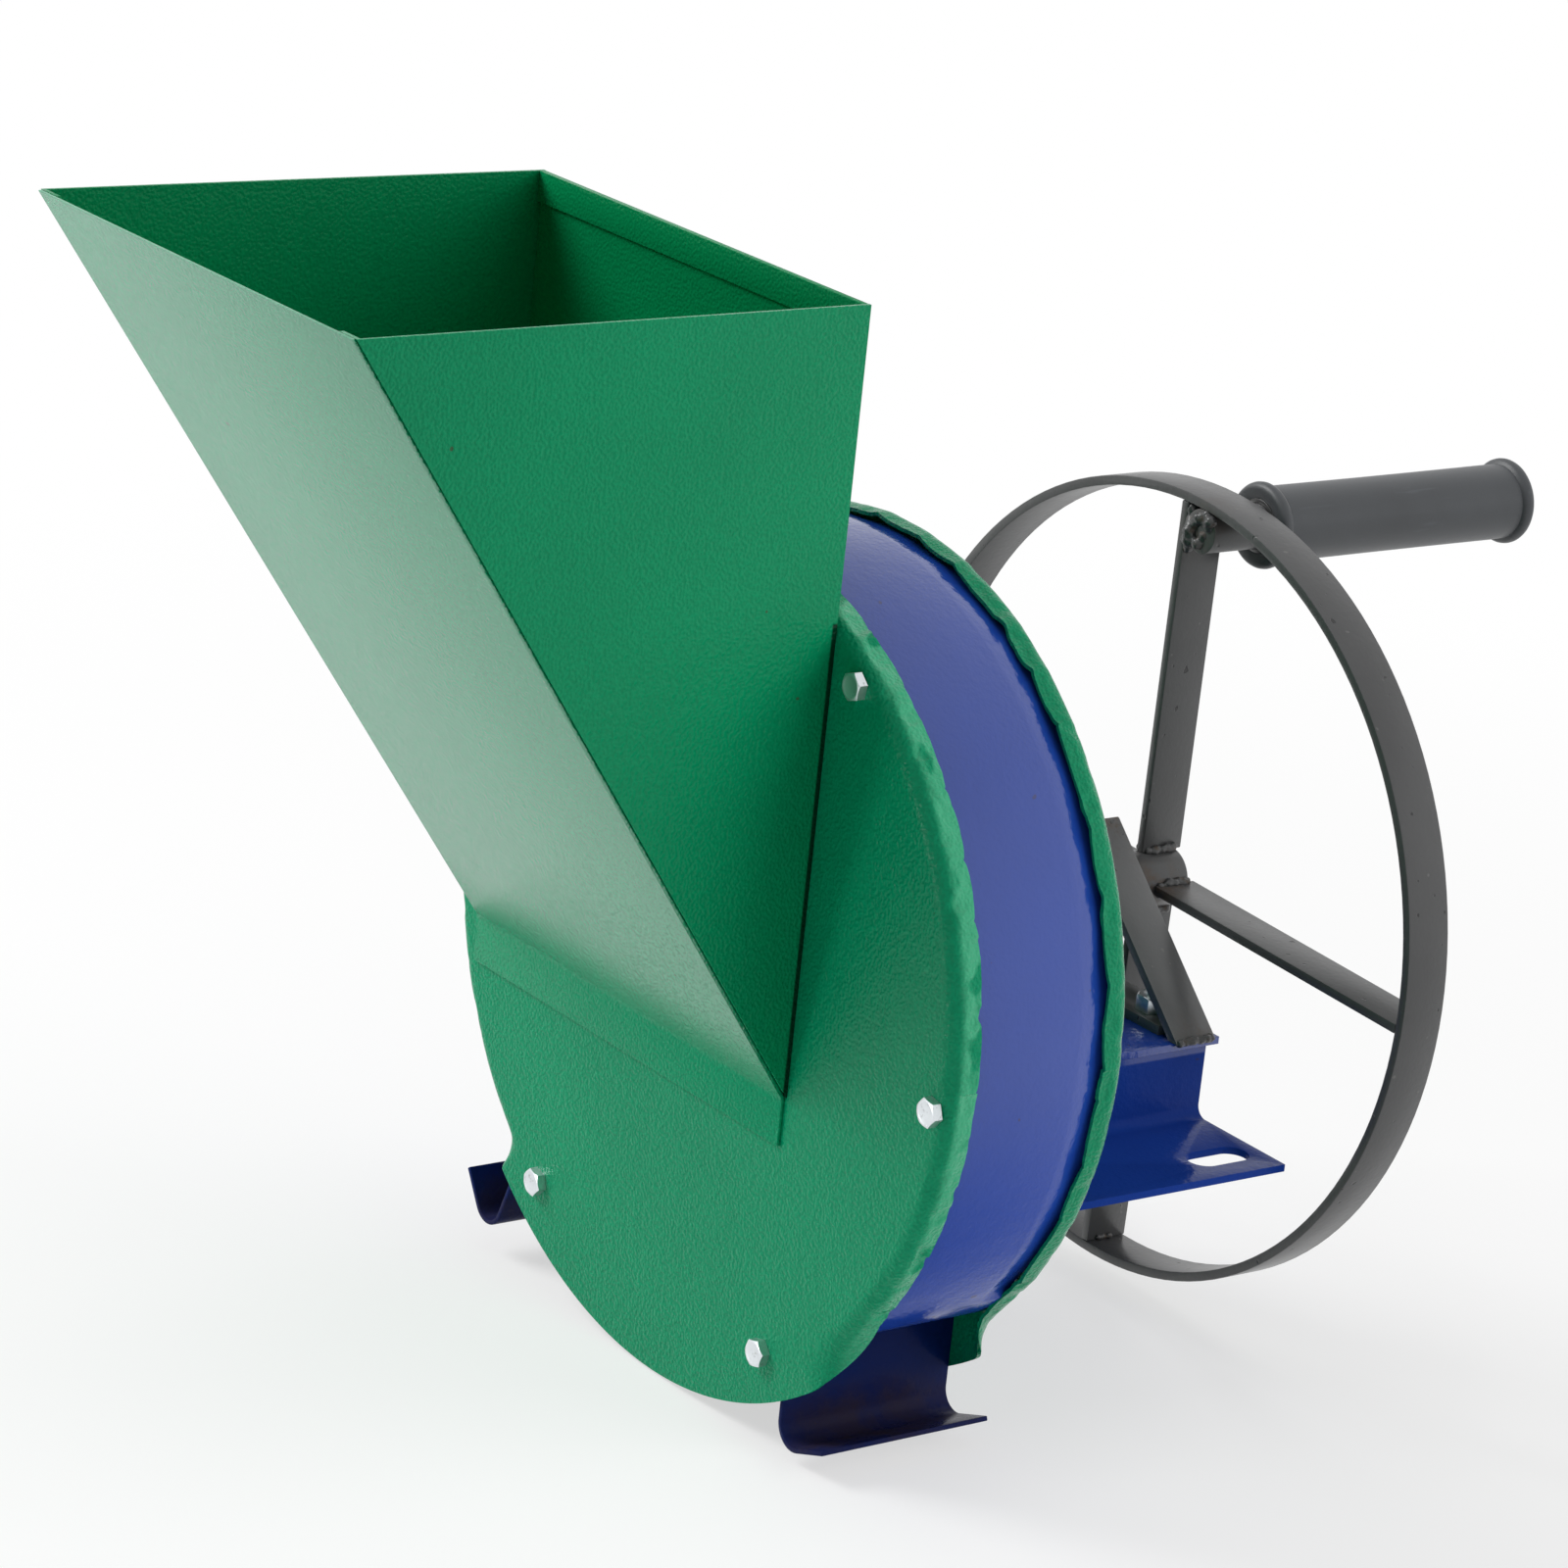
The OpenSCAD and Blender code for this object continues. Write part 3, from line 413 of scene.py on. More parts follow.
def glossy(name, colour, mirror=0.5, scorches=(), gloss=None, sheen=None):
    """Blue gloss with a fine orange peel, burnt where the weld was made.

    gloss gives the heights between which a clear gloss comes in, sheen those between
    which the paint itself gets glossier; both are a painted sheen that comes in higher
    up, so that the parts below look darker, as painted shade."""
    paint = Paint(name)
    burnt = settings("paint").scorch
    peel = paint.grain(520, 1.5)
    swell = paint.grain(120, 1.0)
    cloud = paint.grain(9, 2.0)
    base = paint.mix(cloud, shade(colour, 0.82), shade(colour, 1.16))
    rough = 0.17 + (cloud - 0.5) * 0.06
    for centre, reach, stretch, strength in scorches:
        stain = paint.near(centre, reach, stretch) * paint.ramp(
            paint.grain(60, 4.0, 0.65), (0.30, 0.25), (0.62, 1.0)) * strength
        base = paint.mix(stain, base, burnt)
        rough = rough + stain * 0.28
    if gloss is not None:
        paint.set(Coat_Weight=climb(paint, "Z", *gloss), Coat_Roughness=0.12)
    pin = paint.ramp(paint.grain(240, 0.0), (0.86, 0.0), (0.88, 1.0))
    base = paint.mix(pin * 0.5, base, burnt)
    paint.coat(base, rough, peel + swell * 1.4, 0.00015, Specular_IOR_Level=mirror)
    if sheen is not None:
        paint.glossier(climb(paint, "Z", *sheen), mirror + 0.65, 0.14)
    return paint.material


def satin(name, colour, scorches=()):
    """Black bar paint: satin, with pinholes, dust and scale that show through."""
    paint = Paint(name)
    peel = paint.grain(420, 2.0)
    swell = paint.grain(70, 2.0)
    cloud = paint.grain(22, 3.0)
    holes = paint.ramp(paint.grain(210, 1.0), (0.735, 0.0), (0.775, 1.0))
    dust = paint.ramp(paint.grain(330, 0.0), (0.83, 0.0), (0.85, 1.0))
    base = paint.mix(cloud, shade(colour, 0.75), shade(colour, 1.35))
    base = paint.mix(holes, base, shade(colour, 0.35))
    base = paint.mix(dust * 0.3, base, (0.20, 0.20, 0.19))
    rough = 0.34 + (cloud - 0.5) * 0.16
    for centre, reach, stretch, strength in scorches:
        stain = paint.near(centre, reach, stretch) * paint.ramp(
            paint.grain(110, 4.0, 0.7), (0.42, 0.0), (0.60, 1.0)) * strength
        base = paint.mix(stain, base, shade(settings("paint").scorch, 1.5))
        rough = rough + stain * 0.3
    return paint.coat(base, rough, peel * 0.6 + swell * 0.8 - holes * 1.6, 0.00016)


def weld_black(name):
    """Painted weld metal: lumpy, glossier on the lumps, brown in the pits."""
    paint = Paint(name)
    lumps = paint.grain(260, 3.0, 0.6)
    pits = paint.ramp(lumps, (0.36, 1.0), (0.48, 0.0))
    cloud = paint.grain(120, 2.0)
    black = settings("paint").black
    base = paint.mix(cloud, shade(black, 0.5), shade(black, 1.3))
    base = paint.mix(pits * 0.8, base, shade(settings("paint").scorch, 0.9))
    return paint.coat(base, 0.32 + pits * 0.3, lumps, 0.0006)


def zinc(name):
    """Bright zinc plate with a faint blue and a few stains."""
    paint = Paint(name)
    cloud = paint.grain(180, 3.0)
    stain = paint.ramp(paint.grain(420, 3.0, 0.6), (0.60, 0.0), (0.70, 1.0))
    base = paint.mix(cloud, (0.62, 0.66, 0.69), (0.80, 0.84, 0.86))
    base = paint.mix(stain * 0.55, base, (0.30, 0.31, 0.30))
    return paint.coat(
        base, 0.27 + cloud * 0.12 + stain * 0.2, cloud, 0.00006, Metallic=0.92 - stain * 0.3)


def turned_steel(name, level=0.42, scratches=1400):
    """Bare steel with fine rings from the lathe or rolling marks."""
    paint = Paint(name)
    cloud = paint.grain(40, 3.0)
    lines = paint.grain(scratches / 24, 2.0, 0.6, paint.place_scaled((1.0, 24.0, 1.0)))
    base = paint.mix(cloud, (level * 0.85,) * 3, (level * 1.15,) * 3)
    return paint.coat(base, 0.30 + (lines - 0.5) * 0.2, lines, 0.00003, Metallic=0.95)


def grip_rubber(name):
    """Grey rubber: matt, with flow clouds, a parting line and handling scuffs."""
    paint = Paint(name)
    rubber = settings("paint").rubber
    cloud = paint.grain(26, 3.0, 0.6)
    tooth = paint.grain(1500, 2.0)
    long_way = paint.place_scaled((1.0, 0.12, 1.0))
    scuffs = paint.ramp(paint.grain(260, 2.0, 0.6, long_way), (0.66, 0.0), (0.76, 1.0))
    base = paint.mix(cloud, shade(rubber, 0.72), shade(rubber, 1.3))
    base = paint.mix(scuffs * 0.45, base, shade(rubber, 2.1))
    rough = 0.46 + (cloud - 0.5) * 0.14 + scuffs * 0.1
    return paint.coat(base, rough, tooth, 0.00005, Sheen_Weight=0.08)


FINISHES = {}


def finish(name, make, *args, **kwargs):
    if name not in FINISHES:
        FINISHES[name] = make(name, *args, **kwargs)
    return FINISHES[name]


# The tint gives each piece a lighter or darker copy of the green, as painted light and shade for
# how the light falls on it.
def green(part="face", mirror=0.16, depth=1.0, painted_light_tint=(1, 1, 1), **extra):
    colour = tuple(a * b for a, b in zip(settings("paint").green, painted_light_tint))
    return finish("green_" + part + "_paint", hammered, colour, mirror, depth, **extra)


# The factor gives each piece a lighter or darker copy of the blue, as painted light and shade
# for how the light falls on it.
def blue(part="angle", mirror=0.03, factor=1.0, **extra):
    colour = shade(settings("paint").blue, factor)
    return finish("blue_" + part + "_paint", glossy, colour, mirror, **extra)


# Mesh helpers


def placed(name, data):
    """A new object in the scene."""
    thing = bpy.data.objects.new(name, data)
    bpy.context.scene.collection.objects.link(thing)
    return thing


def evaluated(holder):
    """The mesh of an object after its modifiers."""
    depsgraph = bpy.context.evaluated_depsgraph_get()
    return bpy.data.meshes.new_from_object(
        holder.evaluated_get(depsgraph), preserve_all_data_layers=True, depsgraph=depsgraph)


@contextmanager
def editing(mesh):
    """The mesh as a bmesh, which is written back and freed at the end."""
    work = bmesh.new()
    work.from_mesh(mesh)
    yield work
    work.to_mesh(mesh)
    work.free()


def new_piece(name, mesh, body, material, slot, *replaced):
    """A finished piece at the origin, riding on a body."""
    piece = placed(name, mesh)
    mesh.materials.clear()
    mesh.materials.append(material)
    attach(piece, body)
    if replaced:
        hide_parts(*replaced)
    return piece


def baked(mesh, *modifiers):
    """The mesh after a chain of modifiers, each given as its type and its settings."""
    holder = placed("holder", mesh)
    for kind, options in modifiers:
        modifier = holder.modifiers.new(kind.lower(), kind)
        for option, value in options.items():
            setattr(modifier, option, value)
    result = evaluated(holder)
    bpy.data.objects.remove(holder)
    return result


def smooth(mesh, angle=35):
    mesh.shade_smooth()
    mesh.set_sharp_from_angle(angle=math.radians(angle))
    return mesh


def merged_copy(node):
    """The node's mesh as one closed skin with its flat faces joined."""
    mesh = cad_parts[node].data.copy()
    with editing(mesh) as work:
        bmesh.ops.remove_doubles(work, verts=work.verts, dist=2e-6)
        bmesh.ops.dissolve_limit(
            work, angle_limit=math.radians(0.5), verts=work.verts, edges=work.edges)
        bmesh.ops.recalc_face_normals(work, faces=work.faces)
    layer = mesh.attributes.get("custom_normal")
    if layer:
        mesh.attributes.remove(layer)
    return mesh


def eased(node, name, body, material, slot, width=0.5 * MM, angle=32):
    """A copy of a CAD node whose sharp edges are rounded as paint rounds them."""
    bevel = {
        "width": width, "segments": 2, "limit_method": "ANGLE",
        "angle_limit": math.radians(angle)}
    mesh = smooth(baked(merged_copy(node), ("BEVEL", bevel)), angle)
    return new_piece(name, mesh, body, material, slot, node)


def polar(angle, radius, y, x=SHAFT_X, z=SHAFT_Z):
    """A point round the shaft or another axis, its angle seen from the hopper."""
    return Vector((x + radius * math.cos(angle), y, z + radius * math.sin(angle)))


def grid_mesh(name, rows):
    """A skin over rows of points, joined round each row."""
    count = len(rows[0])
    points = [tuple(point) for row in rows for point in row]
    faces = []
    for row in range(len(rows) - 1):
        for i in range(count):
            j = (i + 1) % count
            faces.append((
                row * count + i, row * count + j, (row + 1) * count + j, (row + 1) * count + i))
    mesh = bpy.data.meshes.new(name)
    mesh.from_pydata(points, [], faces)
    mesh.update()
    return mesh


def outward(mesh):
    with editing(mesh) as work:
        bmesh.ops.remove_doubles(work, verts=work.verts, dist=1e-6)
        bmesh.ops.recalc_face_normals(work, faces=work.faces)
    return mesh


# Covers: a blank of sheet whose rim was hammered round the band


def fade(value, low, high):
    part = min(1.0, max(0.0, (value - low) / (high - low)))
    return part * part * (3 - 2 * part)


def hammer_blows(seed):
    """Edges of the flats that the hammer left, with how far each one swings."""
    dice = random.Random(seed)
    angle, blows = 0.0, []
    mean = 2 * math.pi / settings("cover").lobes
    while angle < 2 * math.pi - 0.4 * mean:
        width = mean * dice.uniform(0.65, 1.35)
        blows.append((angle, width, dice.uniform(0.35, 1.0), dice.uniform(-0.5, 0.5)))
        angle += width
    return blows


def blow_at(blows, angle):
    """Swing of the flange and lean of the flat at an angle round the drum."""
    angle %= 2 * math.pi
    for start, width, swing, lean in blows:
        if start <= angle < start + width:
            part = (angle - start) / width
            bulge = math.sin(math.pi * part) ** 0.7
            return swing * (bulge - 0.62), lean * math.sin(2 * math.pi * part)
    return 0.0, 0.0


def turned_at(degrees, ends):
    """Share of the full flange at an angle: one round the drum, none at the apron."""
    right_full, right_flat, left_flat, left_full = ends
    if degrees > 0:
        return 1.0
    if degrees > -100:
        return fade(degrees, right_flat, right_full)
    return 1 - fade(degrees, left_full, left_flat)


def hammer_push(angle, station, seed):
    """Ripples and dents of the flange in millimetres, dents counted inwards."""
    ripple = noise.noise(Vector((angle * 9, station * 60, seed)))
    small = noise.noise(Vector((angle * 30, station * 240, seed + 5)))
    dent = noise.noise(Vector((angle * 20, station * 120, seed + 9)))
    return 0.3 * ripple + 0.45 * small - 4.5 * max(0.0, dent - 0.1)


def cover_mesh(name, face_y, inward, flange, ends, seed, hole, force):
    """A dished cover from its face outwards, hammered with the given force.

    ends gives four angles between which the flange fades out to the flat apron."""
    look = settings("cover")
    blows = hammer_blows(seed)
    steps = 1080
    flat_r = COVER_R - look.bend - look.give
    bend_len = look.bend * math.pi / 2
    flange_len = flange - look.bend
    full = flat_r + bend_len + flange_len
    stations = [hole, 60 * MM, 110 * MM, 138 * MM, flat_r - 8 * MM, flat_r - 4 * MM,
                flat_r - 1.5 * MM]
    stations += [flat_r + bend_len * i / 8 for i in range(9)]
    stations += [flat_r + bend_len + flange_len * i / 5 for i in range(1, 6)]
    rows = [[] for _ in stations]
    for step in range(steps):
        angle = 2 * math.pi * step / steps
        seen = math.degrees(angle)
        turned = turned_at(seen - 360 if seen > 180 else seen, ends)
        swing, lean = blow_at(blows, angle)
        bend = (math.pi / 2 + look.dent * (swing + 0.3)) * turned
        rate = bend / bend_len
        drop = max(0.0, 1.3 - 2.4 * swing) * MM * turned * force
        edge = (full - drop) * turned + APRON_R * (1 - turned)
        limit = (COVER_R - 0.02 * MM) * turned + APRON_R * (1 - turned)
        tight = (COVER_R - 1.5 * MM) * (turned > 0.99)
        for row, station in enumerate(stations):
            if station <= flat_r:
                radius, depth = station, 0.0
            else:
                share = (station - flat_r) / (full - flat_r)
                run = share * (edge - flat_r)
                arc = min(run, bend_len)
                if rate > 1e-3:
                    radius = flat_r + math.sin(rate * arc) / rate
                    depth = (1 - math.cos(rate * arc)) / rate
                else:
                    radius, depth = flat_r + arc, 0.0
                past = max(0.0, run - bend_len)
                radius += math.cos(bend) * past
                depth += math.sin(bend) * past
                push = hammer_push(angle, station, seed) * force
                radius += push * MM * turned * min(1, share * 1.6)
                radius = min(radius, limit)
                if share > 0.55:
                    radius = max(radius, tight)
                depth += 0.5 * MM * lean * share * turned
            rows[row].append(polar(angle, radius, face_y + inward * depth))
    mesh = outward(grid_mesh(name, rows))
    if mesh.polygons[0].normal.y * inward > 0:
        mesh.flip_normals()
    thick = {"thickness": look.sheet, "offset": -1.0, "use_even_offset": True}
    return baked(mesh, ("SOLIDIFY", thick))


def feed_cutter():
    """A block that cuts the feed opening: a square window with a round top."""
    outline = []
    for step in range(49):
        angle = math.pi * step / 48
        x, z = FEED_R * math.cos(angle), FEED_R * math.sin(angle)
        outline.append((min(FEED_RIGHT, max(-FEED_LEFT, x)), z))
    outline += [(-FEED_LEFT, -FEED_DROP), (FEED_RIGHT, -FEED_DROP)]
    mesh = bpy.data.meshes.new("feed_cutter")
    with editing(mesh) as work:
        near, far = (
            [work.verts.new((SHAFT_X + x, y, SHAFT_Z + z)) for x, z in outline]
            for y in (FRONT_Y - 5 * MM, FRONT_Y + 6 * MM))
        for i in range(len(outline)):
            j = (i + 1) % len(outline)
            work.faces.new((near[i], near[j], far[j], far[i]))
        work.faces.new(near)
        work.faces.new(far)
        bmesh.ops.remove_doubles(work, verts=work.verts, dist=1e-7)
        bmesh.ops.recalc_face_normals(work, faces=work.faces)
    return mesh


def cut(mesh, cutter):
    tool = placed("cutter", cutter)
    result = baked(mesh, ("BOOLEAN", {
        "operation": "DIFFERENCE", "object": tool, "solver": "EXACT"}))
    bpy.data.objects.remove(tool)
    return result


# Welds: lumps of metal melted into one skin


def lump_mesh(name, lumps, roughness=0.25, seed=1):
    """Spheres of (centre, radius) melted together, with an uneven skin."""
    mesh = bpy.data.meshes.new(name)
    with editing(mesh) as work:
        for centre, radius in lumps:
            bmesh.ops.create_icosphere(
                work, subdivisions=3, radius=radius, matrix=Matrix.Translation(centre))
    mesh = baked(
        mesh, ("REMESH", {"mode": "VOXEL", "voxel_size": settings("weld").voxel}),
        ("SMOOTH", {"iterations": 3, "factor": 0.5}))
    with editing(mesh) as work:
        work.normal_update()
        for vert in work.verts:
            wave = noise.fractal(vert.co * 420 + Vector((seed, 0, 0)), 0.9, 2.0, 3)
            vert.co += vert.normal * wave * roughness * MM
    return smooth(mesh, 60)


def new_weld(name, body, lumps, **skin):
    mesh = lump_mesh(name + "_mesh", lumps, **skin)
    return new_piece(name, mesh, body, finish("weld_metal", weld_black), "black_paint")


def bead_line(start, end, radius, seed, gap=0.75):
    """Lumps along a seam, as a welder leaves them."""
    dice = random.Random(seed)
    start, end = Vector(start), Vector(end)
    length = (end - start).length
    count = max(2, int(length / (radius * gap)))
    lumps = []
    for i in range(count + 1):
        point = start.lerp(end, i / count)
        point += Vector([dice.uniform(-0.25, 0.25) * radius for _ in range(3)])
        lumps.append((point, radius * dice.uniform(0.75, 1.15)))
    return lumps


# Fasteners by geometry nodes: one hexagon set at every bolt place


def repeat_tree(name):
    """A tree that sets one shape on every point, turned by the point's attribute."""
    tree = bpy.data.node_groups.new(name, "GeometryNodeTree")
    for name, way, kind in (
            ("Geometry", "INPUT", "Geometry"), ("Shape", "INPUT", "Object"),
            ("Size", "INPUT", "Float"), ("Finish", "INPUT", "Material"),
            ("Geometry", "OUTPUT", "Geometry")):
        tree.interface.new_socket(name, in_out=way, socket_type="NodeSocket" + kind)
    nodes, links = tree.nodes, tree.links
    given = nodes.new("NodeGroupInput")
    shape = nodes.new("GeometryNodeObjectInfo")
    shape.transform_space = "ORIGINAL"
    turn = nodes.new("GeometryNodeInputNamedAttribute")
    turn.data_type = "FLOAT_VECTOR"
    turn.inputs["Name"].default_value = "turn"
    place = nodes.new("GeometryNodeInstanceOnPoints")
    real = nodes.new("GeometryNodeRealizeInstances")
    coat = nodes.new("GeometryNodeSetMaterial")
    out = nodes.new("NodeGroupOutput")
    for source, target in (
            (given.outputs["Shape"], shape.inputs["Object"]),
            (given.outputs["Geometry"], place.inputs["Points"]),
            (shape.outputs["Geometry"], place.inputs["Instance"]),
            (turn.outputs[0], place.inputs["Rotation"]),
            (given.outputs["Size"], place.inputs["Scale"]),
            (place.outputs["Instances"], real.inputs["Geometry"]),
            (real.outputs["Geometry"], coat.inputs["Geometry"]),
            (given.outputs["Finish"], coat.inputs["Material"]),
            (coat.outputs["Geometry"], out.inputs["Geometry"])):
        links.new(source, target)
    return tree


def repeated(name, shape, places, material):
    """A mesh with the shape at every (place, turn)."""
    points = bpy.data.meshes.new(name)
    points.from_pydata([tuple(place) for place, _ in places], [], [])
    turns = points.attributes.new("turn", "FLOAT_VECTOR", "POINT")
    for i, (_, turn) in enumerate(places):
        turns.data[i].vector = turn
    pattern = placed(name + "_pattern", shape)
    holder = placed(name + "_points", points)
    tree = repeat_tree(name + "_tree")
    modifier = holder.modifiers.new("repeat", "NODES")
    modifier.node_group = tree
    for label, value in (("Shape", pattern), ("Size", 1.0), ("Finish", material)):
        modifier[tree.interface.items_tree[label].identifier] = value
    mesh = evaluated(holder)
    bpy.data.objects.remove(holder)
    bpy.data.objects.remove(pattern)
    return mesh


def lathe(name, profile, steps, x=0, z=0):
    """A profile of (radius, Y) turned about an axis along Y."""
    turns = [2 * math.pi * i / steps for i in range(steps)]
    return grid_mesh(name, [
        [polar(turn, radius, y, x, z) for turn in turns] for radius, y in profile])


def hex_shape(name, width, height):
    """A hexagon along -Y from the origin, its far corners chamfered and its face dished."""
    steps = 72
    face_r = width / 2 * 0.93
    stations = [(0.0, 0.0, False), (1.0, 0.0, True), (1.0, 0.5, True), (1.0, 1.0, True),
                (face_r, 0.985, False), (face_r * 0.93, 1.0, False),
                (face_r * 0.84, 0.975, False), (face_r * 0.80, 0.96, False),
                (0.0, 0.965, False)]
    rows = []
    for size, part, is_hexagon in stations:
        row = []
        for i in range(steps):
            angle = 2 * math.pi * i / steps
            if is_hexagon:
                sector = (angle % (math.pi / 3)) - math.pi / 6
                radius = (width / 2) / math.cos(sector) * size
            else:
                radius = size
            y = height * part
            if is_hexagon and part == 1.0:
                over = max(0.0, radius - width / 2 * 0.955)
                y = height - over * math.tan(math.radians(30)) - 0.1 * MM
            row.append(polar(angle, radius, -y, 0, 0))
        rows.append(row)
    return smooth(outward(grid_mesh(name, rows)), 25)


# Operators: one for each group of pieces


class SCRATTER_OT_covers(bpy.types.Operator):
    """Front and rear covers: dished sheet with hammered flanges"""

    bl_idname = "scratter.covers"
    bl_label = "Covers"

    def execute(self, context):
        edge = corners("front_cover")[1].y
        flange = edge - FRONT_Y
        front = cover_mesh(
            "front_cover_skin", FRONT_Y, 1, flange, FRONT_ENDS, seed=3, hole=3 * MM,
            force=1.0)
        front = smooth(cut(front, feed_cutter()), 40)
        # Painted light: the front cover's tint is a lighter copy of the green than the rear's.
        # The flange option adds the painted highlight and painted dent shade.
        paint = green("front", 0.10, 1.0, (1, 1.04, 1.07), flange=(FRONT_Y + 6 * MM, edge))
        new_piece("front_cover_sheet", front, "frame", paint, "green_paint", "front_cover")
        flange = REAR_Y - corners("rear_cover")[0].y
        rear = cover_mesh(
            "rear_cover_skin", REAR_Y, -1, flange, REAR_ENDS, seed=11, hole=10 * MM,
            force=0.35)
        new_piece(
            "rear_cover_sheet", smooth(rear, 40), "frame", green(), "green_paint",
            "rear_cover")
        return {"FINISHED"}


def rolled_in(mesh, start, end, drop):
    """The band with its last stretch before the rear flange hammered inwards."""
    cuts = 9
    with editing(mesh) as work:
        for i in range(cuts + 1):
            y = start + (end - start) * i / cuts
            bmesh.ops.bisect_plane(
                work, geom=work.verts[:] + work.edges[:] + work.faces[:], dist=1e-7,
                plane_co=(0, y, 0), plane_no=(0, 1, 0))
        for vert in work.verts:
            part = min(1.0, max(0.0, (vert.co.y - start) / (end - start))) ** 1.2
            if part > 0 and vert.co.z > SHAFT_Z - 0.64 * COVER_R:
                out = Vector((vert.co.x - SHAFT_X, 0, vert.co.z - SHAFT_Z))
                wave = 1 + 0.35 * noise.noise(vert.co * 55)
                vert.co -= out.normalized() * drop * part * wave


class SCRATTER_OT_drum(bpy.types.Operator):
    """Blue band of the drum and its two hooked feet"""

    bl_idname = "scratter.drum"
    bl_label = "Drum band and feet"

    def execute(self, context):
        flange_edge = corners("rear_cover")[0].y
        # Painted light and shade: the band is a lighter copy of the blue, with a painted sheen
        # that fades out towards the bottom.
        band = blue("band", 0.10, 1.5, sheen=(SHAFT_Z - 0.5 * COVER_R, SHAFT_Z + 0.1 * COVER_R))
        sheet = eased("drum_band", "drum_band_sheet", "frame", band, "blue_paint", 0.3 * MM)
        rolled_in(sheet.data, flange_edge - 12 * MM, flange_edge + 3 * MM, 3.2 * MM)
        for foot in ("right_foot", "left_foot"):
            centre = middle(foot)
            hook = Vector((centre.x, centre.y, corners(foot)[0].z + 9 * MM))
            stains = [
                (hook, 30 * MM, (1, 0.32, 1.5), 0.95),
                (hook + Vector((0, 10 * MM, 22 * MM)), 22 * MM, (1, 0.6, 1), 0.25)]
            # Painted shade: the feet get a much darker copy of the blue, standing for the dark
            # they reflect.
            paint = blue(foot, 0.03, 0.42, scorches=stains)
            eased(foot, foot + "_sheet", "frame", paint, "blue_paint", 0.4 * MM)
        return {"FINISHED"}


class SCRATTER_OT_hopper(bpy.types.Operator):
    """Hopper of four folded panels"""

    bl_idname = "scratter.hopper"
    bl_label = "Hopper"

    def execute(self, context):
        lip = corners("hopper_slope")[0].z + 16 * MM
        # Painted light and shade: each panel's tint makes a lighter or darker copy of the green.
        # The slope's is lighter, and the left side and the back, seen from inside, get a darker,
        # deeper green as painted shade.
        panels = (
            # Painted reflection: the slope gets a strong mirror only above its lip, and the lip
            # stays dull.
            ("slope", 0.08, 1.0, (1, 1.08, 1.10), {"gloss": (lip, lip + 36 * MM)}),
            ("right_side", 0.13, 1.0, (1, 1.02, 0.95), {"seam": FRONT_Y}),
            ("left_side", 0.08, 0.7, (1, 0.86, 0.70), {}),
            ("back", 0.05, 0.7, (1, 0.84, 0.64), {}))
        for panel, mirror, depth, painted_light_tint, extra in panels:
            node = "hopper_" + panel
            paint = green(panel, mirror, depth, painted_light_tint, **extra)
            eased(node, node + "_sheet", "frame", paint, "green_paint", 0.45 * MM)
        return {"FINISHED"}


class SCRATTER_OT_bracket(bpy.types.Operator):
    """Bench bracket and the black stand on it"""

    bl_idname = "scratter.bracket"
    bl_label = "Bracket and stand"

    def execute(self, context):
        shelf = corners("bench_angle_right")[1].z
        # Painted sheen: a clear gloss only on the top of the angles' shelf makes the top look
        # lighter. The angles and the top plate get lighter copies of the blue, as painted light.
        angle = blue(factor=1.15, gloss=(shelf - 3 * MM, shelf - 2 * MM))
        coats = {
            "bracket_top_plate": blue("top_plate", 0.9, 1.35),
            "bench_angle_right": angle, "bench_angle_left": angle}
        for node, paint in coats.items():
            eased(node, node + "_skin", "frame", paint, "blue_paint", 0.5 * MM)
        low, high = corners("strut_right")
        apex = Vector((SHAFT_X, high.y, high.z))
        stains = [(apex, 26 * MM, (1, 1, 1), 0.8)]
        for side in (1, -1):
            foot = Vector((side * 70 * MM, apex.y - 10 * MM, low.z))
            stains.append((foot, 16 * MM, (1, 1, 1), 0.4))
        # Painted light: the stand gets a lighter copy of the black than the wheel, for the light
        # that falls on its struts.
        paint = finish("stand_paint", satin, shade(settings("paint").black, 1.7), stains)
        for node in ("strut_right", "strut_left", "stand_base_bar", "bearing_housing"):
            eased(node, node + "_bar", "frame", paint, "black_paint", 0.5 * MM)
        self.welds(low, high)
        return {"FINISHED"}

    def welds(self, low, high):
        bead = settings("weld").bead
        seed = settings("weld").seed
        y0, y1 = low.y, high.y
        top = high.z - 3 * MM
        lumps = bead_line((SHAFT_X, y1 + 0.2 * MM, top - 3 * MM), (SHAFT_X, y1, top - 9 * MM),
                          bead * 0.8, seed)
        lumps += bead_line((SHAFT_X, y0 + 2 * MM, top + 0.5 * MM),
                           (SHAFT_X, y1 - 2 * MM, top + 0.5 * MM), bead * 0.7, seed + 1)
        for side in (1, -1):
            edge = side * (high.x - 0.6 * MM)
            lumps += bead_line((edge, y0 + 2 * MM, low.z + 0.8 * MM),
                               (edge, y1 - 2 * MM, low.z + 0.8 * MM), bead * 0.62, seed + 2)
        new_weld("stand_welds", "frame", lumps, seed=3)


